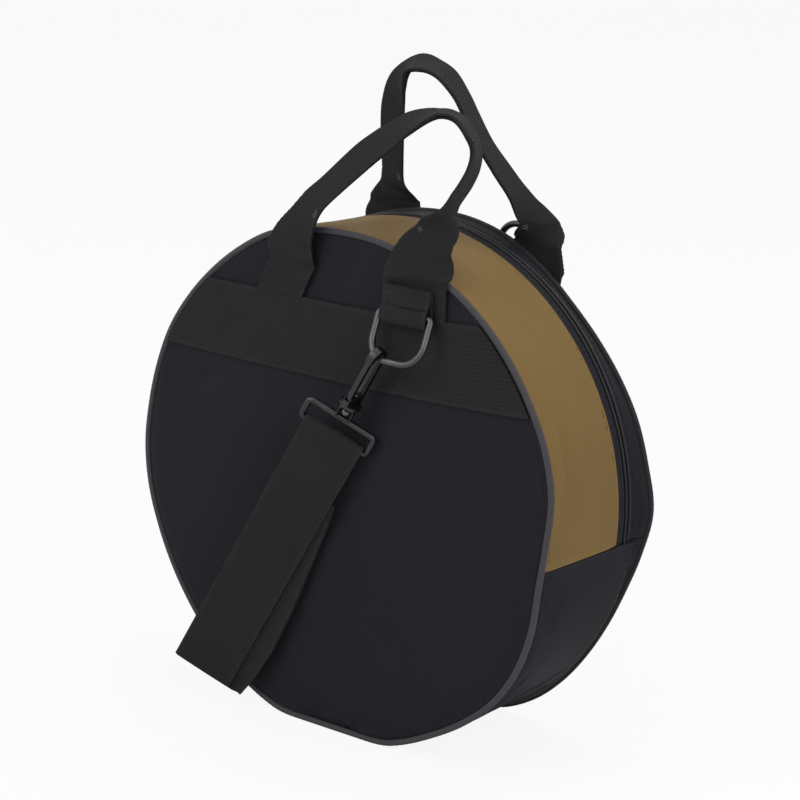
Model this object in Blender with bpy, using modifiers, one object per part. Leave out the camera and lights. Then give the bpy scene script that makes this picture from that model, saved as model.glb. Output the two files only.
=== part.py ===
"""Round padded case for a tambourine: two stiff discs, a zipped gusset, two handles and a shoulder strap.

Metres, +Z up. The front panel faces -Y and +X is to the right seen from the front. The origin is the middle
of the flat patch that the case stands on.
"""
import math

import bmesh
import bpy
from mathutils import Matrix, Vector

# Driving sizes of the case
bag_radius = 0.150
bag_depth = 0.094
base_flat = 0.0033
clearance = 0.0003
running_clearance = 0.0001
cloth_wall = 0.0010
lining_wall = 0.0008
panel_foam_wall = 0.0060
gusset_foam_wall = 0.0030
panel_crown = 0.0040
crown_power = 3
piping_radius = 0.0019
binding_radius = 0.0016
arc_step = math.radians(6)

# Gusset and zip: places are measured forwards from the rear panel's plane
zip_from_rear = 0.0165
zip_opening_width = 0.0070
zip_strip_width = 0.0050
zip_tape_wall = 0.0006
zip_tape_width = 0.0078
zip_coil_radius = 0.0011
zip_centre_gap = 0.0011
zip_end_angle = math.radians(6)
slider_parking_angle = math.radians(5)
end_tab_length = 0.0155
end_tab_width = 0.0150

# Zip slider and pull
slider_length = 0.0110
slider_width = 0.0090
slider_top_wall = 0.0012
slider_bottom_wall = 0.0010
slider_web = 0.00045
slider_web_length = 0.0035
slider_rise = 0.0004
bridge_wire = 0.0007
bridge_half_length = 0.0030
pull_length = 0.0180
pull_width = 0.0056
pull_wall = 0.0012
pull_eye_length = 0.0040

# Webbing sewn on the panels
webbing_wall = 0.0014
band_width = 0.0440
band_centre_height = 0.0885
handle_webbing = 0.0440
front_root_height = 0.1300
rear_root_height = 0.1525
handle_half_span = 0.0520
folded_leg_width = 0.0330
front_loop_rise = 0.0900
rear_loop_rise = 0.0845
loop_lean = 0.0360
grip_width = 0.0210
grip_wall = 0.0034

# Rings and their tabs
tab_webbing = 0.0320
front_tab_length = 0.0150
rear_tab_length = 0.0140
ring_side_gap = 0.0004
ring_wire = 0.0019
ring_drop = 0.0275
ring_bow_corner = 0.0130
ring_place = 0.0550
front_bar_height = 0.1145
rear_bar_height = 0.1220
front_ring_tilt = math.radians(22)
rear_ring_tilt = math.radians(3)

# Swivel snap hook
hook_lean = math.radians(31)
hook_wire_angle = math.radians(29)
hook_wall = 0.0045
hook_spine = 0.0028
hook_throat_half = 0.0030
hook_wire_play = 0.0007
hook_base_length = 0.0080
hook_base_half = 0.0062
hook_bow_height = 0.0365
hook_nose_drop = 0.0030
hook_flange_radius = 0.0064
hook_flange_wall = 0.0021
rivet_radius = 0.0016
rivet_head_radius = 0.0022
rivet_head_wall = 0.0009
rivet_ball_radius = 0.0030
gate_wall = 0.0025
gate_width = 0.0030
gate_pin_depth = 0.0015
gate_pin_radius = 0.00075
spring_radius = 0.00075
spring_wire = 0.00015
spring_turns = 4
spring_pocket_floor = 0.0027

# Rectangular swivel eye and the shoulder strap
strap_webbing = 0.0380
strap_wall = 0.0012
strap_fold_gap = 0.0003
strap_bundle_length = 0.1915
strap_sewn_length = 0.0300
strap_layers = 5
strap_top_step = 0.0420
strap_end_step = 0.0040
strap_layer_shift = 0.0060
strap_roll = math.radians(22)
eye_wire = 0.0019
eye_side_gap = 0.0006
eye_height = 0.0125
yoke_half_width = 0.0050
yoke_half_depth = 0.0026
yoke_top_wall = 0.0026
yoke_height = 0.0100
yoke_window_half = 0.0034

# Numbers of faces
panel_ring_shares = (0.0, 0.45, 0.72, 0.90, 1.0)
corner_steps = 6
route_samples = 2
route_settling = 6
cutter_overrun = 0.0020

# Worked out from the sizes above
axis_height = bag_radius - base_flat
half_depth = bag_depth / 2
piping_path_radius = bag_radius - clearance
cover_radius = piping_path_radius - piping_radius - clearance
gusset_edge = half_depth - piping_radius - clearance
gusset_foam_radius = bag_radius - cloth_wall - clearance
gusset_lining_radius = gusset_foam_radius - gusset_foam_wall - clearance
inside_radius = gusset_lining_radius - lining_wall
panel_core_radius = inside_radius - clearance
zip_depth = half_depth - zip_from_rear
fold_height = axis_height - bag_radius * math.sin(zip_end_angle)
panel_face = half_depth + cloth_wall / 2
hinge_depth = panel_face + panel_crown + clearance
loop_root_depth = half_depth + piping_radius + clearance + webbing_wall / 2

for old in list(bpy.data.objects):
    bpy.data.objects.remove(old, do_unlink=True)

parts = bpy.data.collections.new("tambourine_case")
cutters = bpy.data.collections.new("cutters")
bpy.context.scene.collection.children.link(parts)
bpy.context.scene.collection.children.link(cutters)

finishes = {
    "black nylon": ((0.021, 0.021, 0.027), 0.62, 0.0),
    "gold nylon": ((0.216, 0.150, 0.062), 0.58, 0.0),
    "grey piping": ((0.072, 0.066, 0.072), 0.55, 0.0),
    "foam": ((0.120, 0.120, 0.125), 0.90, 0.0),
    "lining": ((0.060, 0.060, 0.064), 0.80, 0.0),
    "zip tape": ((0.018, 0.018, 0.020), 0.75, 0.0),
    "zip coil": ((0.022, 0.022, 0.024), 0.35, 0.0),
    "webbing": ((0.030, 0.026, 0.027), 0.70, 0.0),
    "gunmetal": ((0.115, 0.115, 0.125), 0.32, 1.0),
    "dark steel": ((0.060, 0.062, 0.064), 0.38, 1.0),
}


# Stands a flat outline upright: its first axis turns to -Y and its second to +Z
plate_turn = Matrix(((0, 0, -1), (-1, 0, 0), (0, 1, 0))).to_4x4()


# Helpers for objects, materials and joints
def place_in_scene(name, mesh, finish):
    """Link a mesh to the parts, with a material of its own."""
    colour, roughness, metallic = finishes[finish]
    material = bpy.data.materials.new(name)
    material.use_nodes = True
    shader = material.node_tree.nodes["Principled BSDF"]
    shader.inputs["Base Color"].default_value = (*colour, 1.0)
    shader.inputs["Roughness"].default_value = roughness
    shader.inputs["Metallic"].default_value = metallic
    part = bpy.data.objects.new(name, mesh)
    part.data.materials.append(material)
    parts.objects.link(part)
    return part


def smooth(mesh):
    """Shade a round piece smooth and keep its corners sharp."""
    mesh.shade_smooth()
    mesh.set_sharp_from_angle(angle=math.radians(35))


def joint_empty(name, place, parent=None):
    """Add an empty at a joint; its location stays in world coordinates."""
    empty = bpy.data.objects.new(name, None)
    parts.objects.link(empty)
    empty.location = place
    if parent is not None:
        hang(empty, parent)
    return empty


def hang(child, empty):
    """Parent a piece to a joint's empty without moving it."""
    child.parent = empty
    child.matrix_parent_inverse = Matrix.Translation(-empty.location)


def make_cutter(name, mesh, matrix=Matrix.Identity(4)):
    """Add a shape that only cuts or joins other shapes."""
    cutter = bpy.data.objects.new(name, mesh)
    cutters.objects.link(cutter)
    cutter.matrix_world = matrix
    cutter.hide_render = True
    cutter.display_type = "WIRE"
    return cutter


def boolean(part, other, operation):
    """Cut or join a part with a helper shape."""
    modifier = part.modifiers.new(other.name, "BOOLEAN")
    modifier.operation = operation
    modifier.solver = "EXACT"
    modifier.object = other


def weld(part):
    """Join the points that cuts leave almost on top of each other."""
    modifier = part.modifiers.new("weld", "WELD")
    modifier.merge_threshold = clearance / 30


def box_mesh(name, low, high):
    """A box between two corners."""
    shape = bmesh.new()
    bmesh.ops.create_cube(shape, size=1.0)
    low = Vector(low)
    high = Vector(high)
    bmesh.ops.scale(shape, vec=high - low, verts=shape.verts)
    bmesh.ops.translate(shape, vec=(low + high) / 2, verts=shape.verts)
    mesh = bpy.data.meshes.new(name)
    shape.to_mesh(mesh)
    shape.free()
    return mesh


def rod_mesh(name, radius, start, end, segments=20):
    """A rod along local Z."""
    shape = bmesh.new()
    bmesh.ops.create_cone(shape, cap_ends=True, segments=segments, radius1=radius, radius2=radius,
                          depth=end - start)
    bmesh.ops.translate(shape, vec=(0, 0, (start + end) / 2), verts=shape.verts)
    mesh = bpy.data.meshes.new(name)
    shape.to_mesh(mesh)
    shape.free()
    smooth(mesh)
    return mesh


def mesh_of_curve(curve, matrix=Matrix.Identity(4)):
    """Turn a curve into a closed mesh in world coordinates and drop the curve."""
    guide = bpy.data.objects.new(curve.name, curve)
    cutters.objects.link(guide)
    graph = bpy.context.evaluated_depsgraph_get()
    mesh = bpy.data.meshes.new_from_object(guide.evaluated_get(graph))
    shape = bmesh.new()
    shape.from_mesh(mesh)
    bmesh.ops.remove_doubles(shape, verts=shape.verts, dist=clearance / 20)
    bmesh.ops.recalc_face_normals(shape, faces=shape.faces)
    shape.to_mesh(mesh)
    shape.free()
    mesh.transform(matrix)
    bpy.data.objects.remove(guide)
    return mesh


def tube_mesh(name, points, radius, cyclic=False, resolution=2):
    """A wire along points, in the points' own frame."""
    curve = bpy.data.curves.new(name, "CURVE")
    curve.dimensions = "3D"
    curve.bevel_depth = radius
    curve.bevel_resolution = resolution
    curve.use_fill_caps = True
    spline = curve.splines.new("POLY")
    spline.points.add(len(points) - 1)
    for spot, point in zip(spline.points, points):
        spot.co = (*point, 1.0)
    spline.use_cyclic_u = cyclic
    mesh = mesh_of_curve(curve)
    smooth(mesh)
    return mesh


def plate_mesh(name, outlines, wall, matrix):
    """A flat outline, with holes where more outlines are given, extruded to a plate."""
    curve = bpy.data.curves.new(name, "CURVE")
    curve.dimensions = "2D"
    curve.fill_mode = "BOTH"
    curve.extrude = wall / 2
    for outline in outlines:
        spline = curve.splines.new("POLY")
        spline.points.add(len(outline) - 1)
        for spot, (across, along) in zip(spline.points, outline):
            spot.co = (across, along, 0.0, 1.0)
        spline.use_cyclic_u = True
    return mesh_of_curve(curve, matrix)


def strip_part(name, rows, wall, finish, outward):
    """A sheet through rows of points, thickened about its middle."""
    shape = bmesh.new()
    grid = [[shape.verts.new(point) for point in row] for row in rows]
    for upper, lower in zip(grid, grid[1:]):
        for left in range(len(upper) - 1):
            shape.faces.new((upper[left], upper[left + 1], lower[left + 1], lower[left]))
    shape.normal_update()
    shape.faces.ensure_lookup_table()
    if shape.faces[0].normal.dot(outward) < 0:
        bmesh.ops.reverse_faces(shape, faces=shape.faces)
    mesh = bpy.data.meshes.new(name)
    shape.to_mesh(mesh)
    shape.free()
    smooth(mesh)
    part = place_in_scene(name, mesh, finish)
    solid = part.modifiers.new("wall", "SOLIDIFY")
    solid.thickness = wall
    solid.offset = 0
    solid.use_even_offset = True
    return part


def arc(centre, radius, start, end, steps):
    """Points on an arc in a plane, as pairs."""
    turns = [start + (end - start) * step / steps for step in range(steps + 1)]
    return [(centre[0] + radius * math.cos(turn), centre[1] + radius * math.sin(turn)) for turn in turns]


# The case's own round form
def rim(radius, angle, depth, floor=None):
    """A point on the case's round outline, flattened where it stands."""
    if floor is None:
        floor = bag_radius - radius
    height = axis_height + radius * math.sin(angle)
    return Vector((radius * math.cos(angle), depth, max(height, floor)))


def crown(across, height):
    """How far a panel swells beyond its seam at a place on it."""
    share = min(math.hypot(across, height) / cover_radius, 1.0)
    return panel_crown * (1 - share ** crown_power)


def arc_turns(start, end):
    """Angles along an arc: its two ends, and between them the steps that all arcs share."""
    steps = range(math.floor(start / arc_step) + 1, math.ceil(end / arc_step))
    shared = [step * arc_step for step in steps]
    return [start] + [turn for turn in shared if min(turn - start, end - turn) > arc_step / 5] + [end]


def arc_band(name, radius, wall, depths, angles, finish):
    """A band of the gusset: an arc drawn out along the case's depth, with its wall inwards."""
    shape = bmesh.new()
    verts = [shape.verts.new(rim(radius, turn, depths[0])) for turn in arc_turns(*angles)]
    edges = [shape.edges.new(pair) for pair in zip(verts, verts[1:])]
    drawn = bmesh.ops.extrude_edge_only(shape, edges=edges)
    moved = [item for item in drawn["geom"] if isinstance(item, bmesh.types.BMVert)]
    bmesh.ops.translate(shape, vec=(0, depths[1] - depths[0], 0), verts=moved)
    shape.normal_update()
    shape.faces.ensure_lookup_table()
    first = shape.faces[0]
    if first.normal.dot(first.calc_center_median() - Vector((0, first.calc_center_median().y,
                                                             axis_height))) < 0:
        bmesh.ops.reverse_faces(shape, faces=shape.faces)
    mesh = bpy.data.meshes.new(name)
    shape.to_mesh(mesh)
    shape.free()
    smooth(mesh)
    part = place_in_scene(name, mesh, finish)
    solid = part.modifiers.new("wall", "SOLIDIFY")
    solid.thickness = wall
    solid.offset = -1
    solid.use_even_offset = True
    return part


def disc_mesh(name, radius, wall, inner_face, side, floor):
    """A crowned disc, spun about the case's axis and flattened where it stands."""
    outer = []
    inner = []
    for share in panel_ring_shares:
        reach = share * radius
        swell = crown(reach, 0)
        inner.append(Vector((reach, side * (inner_face + swell), axis_height)))
        outer.append(Vector((reach, side * (inner_face + swell + wall), axis_height)))
    shape = bmesh.new()
    verts = [shape.verts.new(point) for point in outer + inner[::-1]]
    edges = [shape.edges.new(pair) for pair in zip(verts, verts[1:])]
    bmesh.ops.spin(shape, geom=verts + edges, cent=(0, 0, axis_height), axis=(0, 1, 0), dvec=(0, 0, 0),
                   angle=math.tau, steps=round(math.tau / arc_step), use_merge=True)
    bmesh.ops.remove_doubles(shape, verts=shape.verts, dist=clearance / 20)
    for vert in shape.verts:
        vert.co.z = max(vert.co.z, floor)
    bmesh.ops.recalc_face_normals(shape, faces=shape.faces)
    mesh = bpy.data.meshes.new(name)
    shape.to_mesh(mesh)
    shape.free()
    smooth(mesh)
    return mesh


def ring_tube(name, radius, depth, wire, floor, angles, finish):
    """A tube laid round the case's outline: a whole ring or an arc of one."""
    turns = arc_turns(0, math.tau)[:-1] if angles is None else arc_turns(*angles)
    points = [rim(radius, turn, depth, floor) for turn in turns]
    return place_in_scene(name, tube_mesh(name, points, wire, cyclic=angles is None, resolution=1), finish)


# Arcs of the gusset, as angles about the case's axis from +X over the top
end_slack = 2 * clearance / bag_radius
top_arc = (-zip_end_angle, math.pi + zip_end_angle)
bottom_arc = (math.pi + zip_end_angle + end_slack, math.tau - zip_end_angle - end_slack)
lid_zip_arc = (-zip_end_angle + end_slack, math.pi + zip_end_angle - slider_parking_angle)
lid_arc = (-zip_end_angle + end_slack, math.pi + zip_end_angle - end_slack)


def half_space(name, upper):
    """A block that covers one side of the fold across the rear panel."""
    reach = bag_radius + bag_depth
    if upper:
        low = (-reach, -reach, fold_height - clearance / 2)
        high = (reach, reach, fold_height + 2 * reach)
    else:
        low = (-reach, -reach, fold_height - 2 * reach)
        high = (reach, reach, fold_height + clearance / 2)
    return make_cutter(name, box_mesh(name, low, high))


def make_panels():
    """Front panel, and the rear panel above and below its fold: cover, foam and lining of each."""
    foam_face = half_depth - cloth_wall / 2 - clearance - panel_foam_wall
    lining_face = foam_face - clearance - lining_wall
    cover_floor = 2 * piping_radius + clearance
    core_floor = bag_radius - panel_core_radius
    above_fold = half_space("above_fold", upper=True)
    below_fold = half_space("below_fold", upper=False)
    layers = (
        ("cover", cover_radius, cloth_wall, half_depth - cloth_wall / 2, cover_floor, "black nylon"),
        ("foam", panel_core_radius, panel_foam_wall, foam_face, core_floor, "foam"),
        ("lining", panel_core_radius, lining_wall, lining_face, core_floor, "lining"),
    )
    lid_pieces = []
    for layer, radius, wall, face, floor, finish in layers:
        front = disc_mesh("front_" + layer, radius, wall, face, -1, floor)
        place_in_scene("front_" + layer, front, finish)
        lid = place_in_scene("lid_" + layer, disc_mesh("lid_" + layer, radius, wall, face, 1, floor), finish)
        boolean(lid, below_fold, "DIFFERENCE")
        lid_pieces.append(lid)
        name = "rear_lower_" + layer
        lower = place_in_scene(name, disc_mesh(name, radius, wall, face, 1, floor), finish)
        boolean(lower, above_fold, "DIFFERENCE")
    return lid_pieces


def make_edges():
    """Piping round both panels and the bindings of the seams inside."""
    binding_path = inside_radius - clearance - binding_radius
    lining_back = half_depth - cloth_wall / 2 - panel_foam_wall - lining_wall - 2 * clearance
    binding_depth = lining_back - clearance - binding_radius
    binding_floor = bag_radius - binding_path
    piping_slack = (piping_radius + clearance) / bag_radius
    ring_tube("front_piping", piping_path_radius, -half_depth, piping_radius, piping_radius, None,
              "grey piping")
    ring_tube("front_seam_binding", binding_path, -binding_depth, binding_radius, binding_floor, None,
              "lining")
    upper = (-zip_end_angle + end_slack, math.pi + zip_end_angle - end_slack)
    lower = (math.pi + zip_end_angle + end_slack, math.tau - zip_end_angle - end_slack)
    inner = math.asin((axis_height - fold_height) / binding_path)
    inner_slack = (binding_radius + clearance) / binding_path
    lid_pieces = [
        ring_tube("lid_piping", piping_path_radius, half_depth, piping_radius, piping_radius,
                  (upper[0] + piping_slack, upper[1] - piping_slack), "grey piping"),
        ring_tube("lid_seam_binding", binding_path, binding_depth, binding_radius, binding_floor,
                  (-inner + inner_slack, math.pi + inner - inner_slack), "lining"),
    ]
    ring_tube("rear_lower_piping", piping_path_radius, half_depth, piping_radius, piping_radius, lower,
              "grey piping")
    ring_tube("rear_lower_seam_binding", binding_path, binding_depth, binding_radius, binding_floor,
              (math.pi + inner + inner_slack, math.tau - inner - inner_slack), "lining")
    return lid_pieces


def make_gusset():
    """Gold band over the top, black base, and the strips on each side of the zip."""
    strip_edge = zip_depth - zip_opening_width / 2
    gold_edge = strip_edge - zip_strip_width - clearance
    gold = (-gusset_edge, gold_edge)
    full = (-gusset_edge, gusset_edge)
    arc_band("gold_gusset", bag_radius, cloth_wall, gold, top_arc, "gold nylon")
    arc_band("gold_gusset_foam", gusset_foam_radius, gusset_foam_wall, gold, top_arc, "foam")
    arc_band("gold_gusset_lining", gusset_lining_radius, lining_wall, gold, top_arc, "lining")
    arc_band("bottom_gusset", bag_radius, cloth_wall, full, bottom_arc, "black nylon")
    arc_band("bottom_gusset_foam", gusset_foam_radius, gusset_foam_wall, full, bottom_arc, "foam")
    arc_band("bottom_gusset_lining", gusset_lining_radius, lining_wall, full, bottom_arc, "lining")
    arc_band("front_zip_strip", bag_radius, cloth_wall, (gold_edge + clearance, strip_edge), top_arc,
             "black nylon")
    rear_strip = arc_band("rear_zip_strip", bag_radius, cloth_wall,
                          (zip_depth + zip_opening_width / 2, gusset_edge), lid_arc, "black nylon")
    return [rear_strip]


def make_zip():
    """Tapes, coils and the end tabs of the zip."""
    tape_radius = bag_radius - cloth_wall - clearance
    coil_path = tape_radius + clearance + zip_coil_radius
    tape_edge = zip_centre_gap / 2
    coil_place = tape_edge + zip_coil_radius
    arc_band("front_zip_tape", tape_radius, zip_tape_wall,
             (zip_depth - tape_edge - zip_tape_width, zip_depth - tape_edge), top_arc, "zip tape")
    rear_tape = arc_band("rear_zip_tape", tape_radius, zip_tape_wall,
                         (zip_depth + tape_edge,
                          zip_depth + tape_edge + zip_tape_width), lid_zip_arc, "zip tape")
    coils = []
    for name, place, angles in (("front_zip_coil", -coil_place, top_arc),
                                ("rear_zip_coil", coil_place, lid_zip_arc)):
        points = [rim(coil_path, turn, zip_depth + place, 0) for turn in arc_turns(*angles)]
        coils.append(place_in_scene(name, tube_mesh(name, points, zip_coil_radius, resolution=1), "zip coil"))
    tab_radius = bag_radius + clearance + cloth_wall
    tab_depths = (zip_depth - end_tab_width / 2, zip_depth + end_tab_width / 2)
    tab_turn = end_tab_length / bag_radius
    tab_start = math.pi + zip_end_angle + 2 * end_slack
    arc_band("zip_end_tab_left", tab_radius, cloth_wall, tab_depths, (tab_start, tab_start + tab_turn),
             "black nylon")
    tab_end = math.tau - zip_end_angle - 2 * end_slack
    arc_band("zip_end_tab_right", tab_radius, cloth_wall, tab_depths, (tab_end - tab_turn, tab_end),
             "black nylon")
    return [rear_tape, coils[1]]


def make_slider():
    """Zip slider parked at the left end, with its pull hanging along the gusset."""
    parked = math.pi + zip_end_angle - slider_parking_angle / 2
    outward = Vector((math.cos(parked), 0, math.sin(parked)))
    along = Vector((math.sin(parked), 0, -math.cos(parked)))
    across = outward.cross(along)
    frame = Matrix((across, outward, along)).transposed().to_4x4()
    frame.translation = Vector((0, zip_depth, axis_height))
    tape_outer = bag_radius - cloth_wall - clearance
    coil_top = tape_outer + clearance + 2 * zip_coil_radius
    top_low = coil_top + slider_rise
    top_high = top_low + slider_top_wall
    bottom_high = tape_outer - zip_tape_wall - clearance - slider_rise
    bottom_low = bottom_high - slider_bottom_wall
    slider_mesh = box_mesh("zip_slider", (-slider_width / 2, top_low, -slider_length / 2),
                           (slider_width / 2, top_high, slider_length / 2))
    slider_mesh.transform(frame)
    slider = place_in_scene("zip_slider", slider_mesh, "dark steel")
    web = make_cutter("slider_web", box_mesh("slider_web",
                                             (-slider_web / 2, bottom_high - slider_bottom_wall / 2,
                                                            -slider_web_length / 2),
                                             (slider_web / 2, top_low + slider_top_wall / 2,
                                              slider_web_length / 2)),
                      frame)
    foot = make_cutter("slider_foot", box_mesh("slider_foot",
                                               (-slider_width / 2, bottom_low, -slider_length / 2),
                                               (slider_width / 2, bottom_high, slider_length / 2)), frame)
    pin_place = top_high + clearance + bridge_wire
    arch_top = pin_place + 2 * bridge_wire + clearance
    arch_foot = top_high - slider_top_wall / 2
    arch = [(0, arch_foot, -bridge_half_length), (0, arch_top - bridge_wire, -bridge_half_length),
            (0, arch_top, -bridge_half_length + bridge_wire), (0, arch_top, bridge_half_length - bridge_wire),
            (0, arch_top - bridge_wire, bridge_half_length), (0, arch_foot, bridge_half_length)]
    bridge = make_cutter("slider_bridge", tube_mesh("slider_bridge", arch, bridge_wire, resolution=1), frame)
    for helper in (foot, web, bridge):
        boolean(slider, helper, "UNION")

    eye_half = pull_width / 2 - 2 * bridge_wire
    outline = [(-pull_width / 2, bridge_wire), (pull_width / 2, bridge_wire)]
    outline += arc((0, -pull_length + pull_width / 2), pull_width / 2, 0, -math.pi, corner_steps)
    eye_top = -bridge_wire
    hole = [(-eye_half, eye_top), (eye_half, eye_top), (eye_half, eye_top - pull_eye_length),
            (-eye_half, eye_top - pull_eye_length)]
    hanging = Matrix.Translation(frame @ Vector((0, pin_place, 0))) @ plate_turn
    pull_mesh = plate_mesh("zip_pull", [outline, hole], pull_wall, hanging)
    pull = place_in_scene("zip_pull", pull_mesh, "dark steel")

    slider_joint = joint_empty("zip_travel_axis", Vector((0, zip_depth, axis_height)))
    pull_joint = joint_empty("zip_pull_axis", frame @ Vector((0, pin_place, 0)), slider_joint)
    hang(slider, slider_joint)
    hang(pull, pull_joint)


# Webbing sewn on the panels
def sewn_depth(across, height, layer):
    """Middle of a webbing layer that lies on a panel or over its piping, counted outwards from 1."""
    lift = max(cloth_wall / 2 + crown(across, height), piping_radius)
    return half_depth + lift + layer * (clearance + webbing_wall) - webbing_wall / 2


def make_band(name, side):
    """Webbing band across a panel, from seam to seam."""
    rows = []
    columns = 24
    reach = cover_radius - clearance
    for row in range(4):
        height = band_centre_height + band_width * (0.5 - row / 3)
        half_chord = math.sqrt(reach ** 2 - height ** 2)
        line = []
        for column in range(columns + 1):
            across = half_chord * (2 * column / columns - 1)
            lift = cloth_wall / 2 + crown(across, height) + clearance + webbing_wall / 2
            line.append(Vector((across, side * (half_depth + lift), axis_height + height)))
        rows.append(line)
    return strip_part(name, rows, webbing_wall, "webbing", Vector((0, side, 0)))


def make_leg(name, side, leg, root_height):
    """Sewn leg of a handle, from the band up to where the handle bends free."""
    foot, root, foot_width, root_width, taper = leg
    low = band_centre_height + band_width / 2 + clearance
    rows = []
    count = 4
    for row in range(count + 1):
        share = row / count
        height = low + (root_height - low) * share
        narrowing = max(share - taper, 0) / (1 - taper)
        width = foot_width + (root_width - foot_width) * narrowing
        line = []
        for column in range(5):
            across = foot + (root - foot) * share + width * (column / 4 - 0.5)
            line.append(Vector((across, side * sewn_depth(across, height, 1), axis_height + height)))
        rows.append(line)
    return strip_part(name, rows, webbing_wall, "webbing", Vector((0, side, 0)))


def smooth_route(points, samples):
    """Points on a smooth curve through hand-chosen points, which may carry extra values."""
    result = []
    last = len(points) - 1
    for index in range(last):
        before = points[max(index - 1, 0)]
        here = points[index]
        there = points[index + 1]
        after = points[min(index + 2, last)]
        for step in range(samples):
            t = step / samples
            result.append([0.5 * (2 * b + (c - a) * t + (2 * a - 5 * b + 4 * c - d) * t * t
                                  + (3 * b - a - 3 * c + d) * t ** 3)
                           for a, b, c, d in zip(before, here, there, after)])
    result.append(list(points[last]))
    return result


# Legs: place of the foot and of the root, width at the foot and at the root, and the share where it narrows
front_left_leg = (-0.0405, -0.600 * handle_half_span, folded_leg_width, folded_leg_width, 0.50)
front_right_leg = (0.0565, 1.090 * handle_half_span, handle_webbing, handle_webbing, 0.50)
rear_left_leg = (-0.0400, -0.760 * handle_half_span, handle_webbing, grip_width, 0.75)
rear_right_leg = (0.0580, 1.290 * handle_half_span, handle_webbing, grip_width, 0.50)

# Free loops: across share, lean share, rise share, fold share and twist in degrees
front_loop_shares = (
    (-0.600, 0.00, 0.000, 0.50, 0), (-0.585, -0.06, 0.146, 0.60, 4), (-0.445, -0.02, 0.295, 0.85, 18),
    (-0.322, 0.03, 0.407, 1.00, 26), (-0.201, 0.12, 0.491, 1.00, 33), (0.160, 0.36, 0.714, 1.00, 31),
    (0.347, 0.60, 0.830, 1.00, 35), (0.520, 0.78, 0.923, 1.00, 48), (0.760, 0.92, 0.993, 1.00, 73),
    (0.919, 1.00, 1.009, 1.00, 92), (1.157, 1.00, 0.978, 1.00, 109), (1.330, 0.97, 0.876, 1.00, 116),
    (1.432, 0.86, 0.781, 1.00, 124), (1.487, 0.64, 0.681, 1.00, 124), (1.501, 0.32, 0.569, 1.00, 118),
    (1.474, 0.12, 0.470, 1.00, 96), (1.347, 0.02, 0.343, 1.00, 16), (1.226, 0.00, 0.232, 0.50, 8),
    (1.129, 0.00, 0.090, 0.00, 0), (1.090, 0.00, 0.000, 0.00, 0),
)
rear_loop_shares = (
    (-0.760, 0.00, 0.000, 1.00, 0), (-0.740, 0.06, 0.065, 1.00, 10), (-0.718, 0.14, 0.169, 1.00, 19),
    (-0.658, 0.28, 0.349, 1.00, 16), (-0.599, 0.40, 0.535, 1.00, 14), (-0.543, 0.48, 0.700, 1.00, 16),
    (-0.461, 0.53, 0.855, 1.00, 28), (-0.250, 0.56, 1.003, 1.00, 63), (-0.013, 0.56, 1.015, 1.00, 83),
    (0.220, 0.55, 0.970, 1.00, 94), (0.431, 0.52, 0.843, 1.00, 104), (0.561, 0.48, 0.708, 1.00, 106),
    (0.716, 0.40, 0.528, 1.00, 105), (0.910, 0.30, 0.354, 1.00, 100), (1.081, 0.20, 0.205, 1.00, 102),
    (1.205, 0.09, 0.069, 1.00, 98), (1.290, 0.00, 0.000, 1.00, 76),
)


def make_loop(name, side, shares, root_height, rise):
    """Free loop of a handle: flat webbing at both roots, folded in half along its grip."""
    thicker = (grip_wall - webbing_wall) / 2
    table = [(across * handle_half_span, side * (loop_root_depth + thicker * fold - loop_lean * lean),
              axis_height + root_height + clearance + rise * up, fold, math.radians(twist))
             for across, lean, up, fold, twist in shares]
    route = smooth_route(table, route_samples)
    shape = bmesh.new()
    rings = []
    facing = Vector((0, -1, 0))
    for index, (x, y, z, fold, twist) in enumerate(route):
        before = Vector(route[max(index - 1, 0)][:3])
        after = Vector(route[min(index + 1, len(route) - 1)][:3])
        tangent = (after - before).normalized()
        from_root = min(index, len(route) - 1 - index)
        upright = Vector((0, 0, 1 if index < len(route) / 2 else -1))
        tangent = upright.lerp(tangent, min(from_root / route_settling, 1.0)).normalized()
        normal = (facing - tangent * facing.dot(tangent)).normalized()
        across = tangent.cross(normal)
        wide = across * math.cos(twist) + normal * math.sin(twist)
        thick = tangent.cross(wide)
        half_width = (handle_webbing + (grip_width - handle_webbing) * fold) / 2
        half_wall = (webbing_wall + (grip_wall - webbing_wall) * fold) / 2
        bevel = half_wall / 2
        section = [(half_width, bevel), (half_width - bevel, half_wall), (bevel - half_width, half_wall),
                   (-half_width, bevel), (-half_width, -bevel), (bevel - half_width, -half_wall),
                   (half_width - bevel, -half_wall), (half_width, -bevel)]
        centre = Vector((x, y, z))
        rings.append([shape.verts.new(centre + wide * a + thick * b) for a, b in section])
    count = len(rings[0])
    for lower, upper in zip(rings, rings[1:]):
        for corner in range(count):
            following = (corner + 1) % count
            shape.faces.new((lower[corner], lower[following], upper[following], upper[corner]))
    shape.faces.new(rings[0][::-1])
    shape.faces.new(rings[-1])
    bmesh.ops.recalc_face_normals(shape, faces=shape.faces)
    mesh = bpy.data.meshes.new(name)
    shape.to_mesh(mesh)
    shape.free()
    smooth(mesh)
    return place_in_scene(name, mesh, "webbing")


# Rings in their tabs
def tab_layers(side, bar_height):
    """Depths of the tab's back layer and of the ring's bar in it."""
    back = sewn_depth(ring_place - tab_webbing / 2, bar_height - 2 * ring_wire, 2)
    bar = back + webbing_wall / 2 + clearance + ring_wire
    return side * back, side * bar


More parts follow.
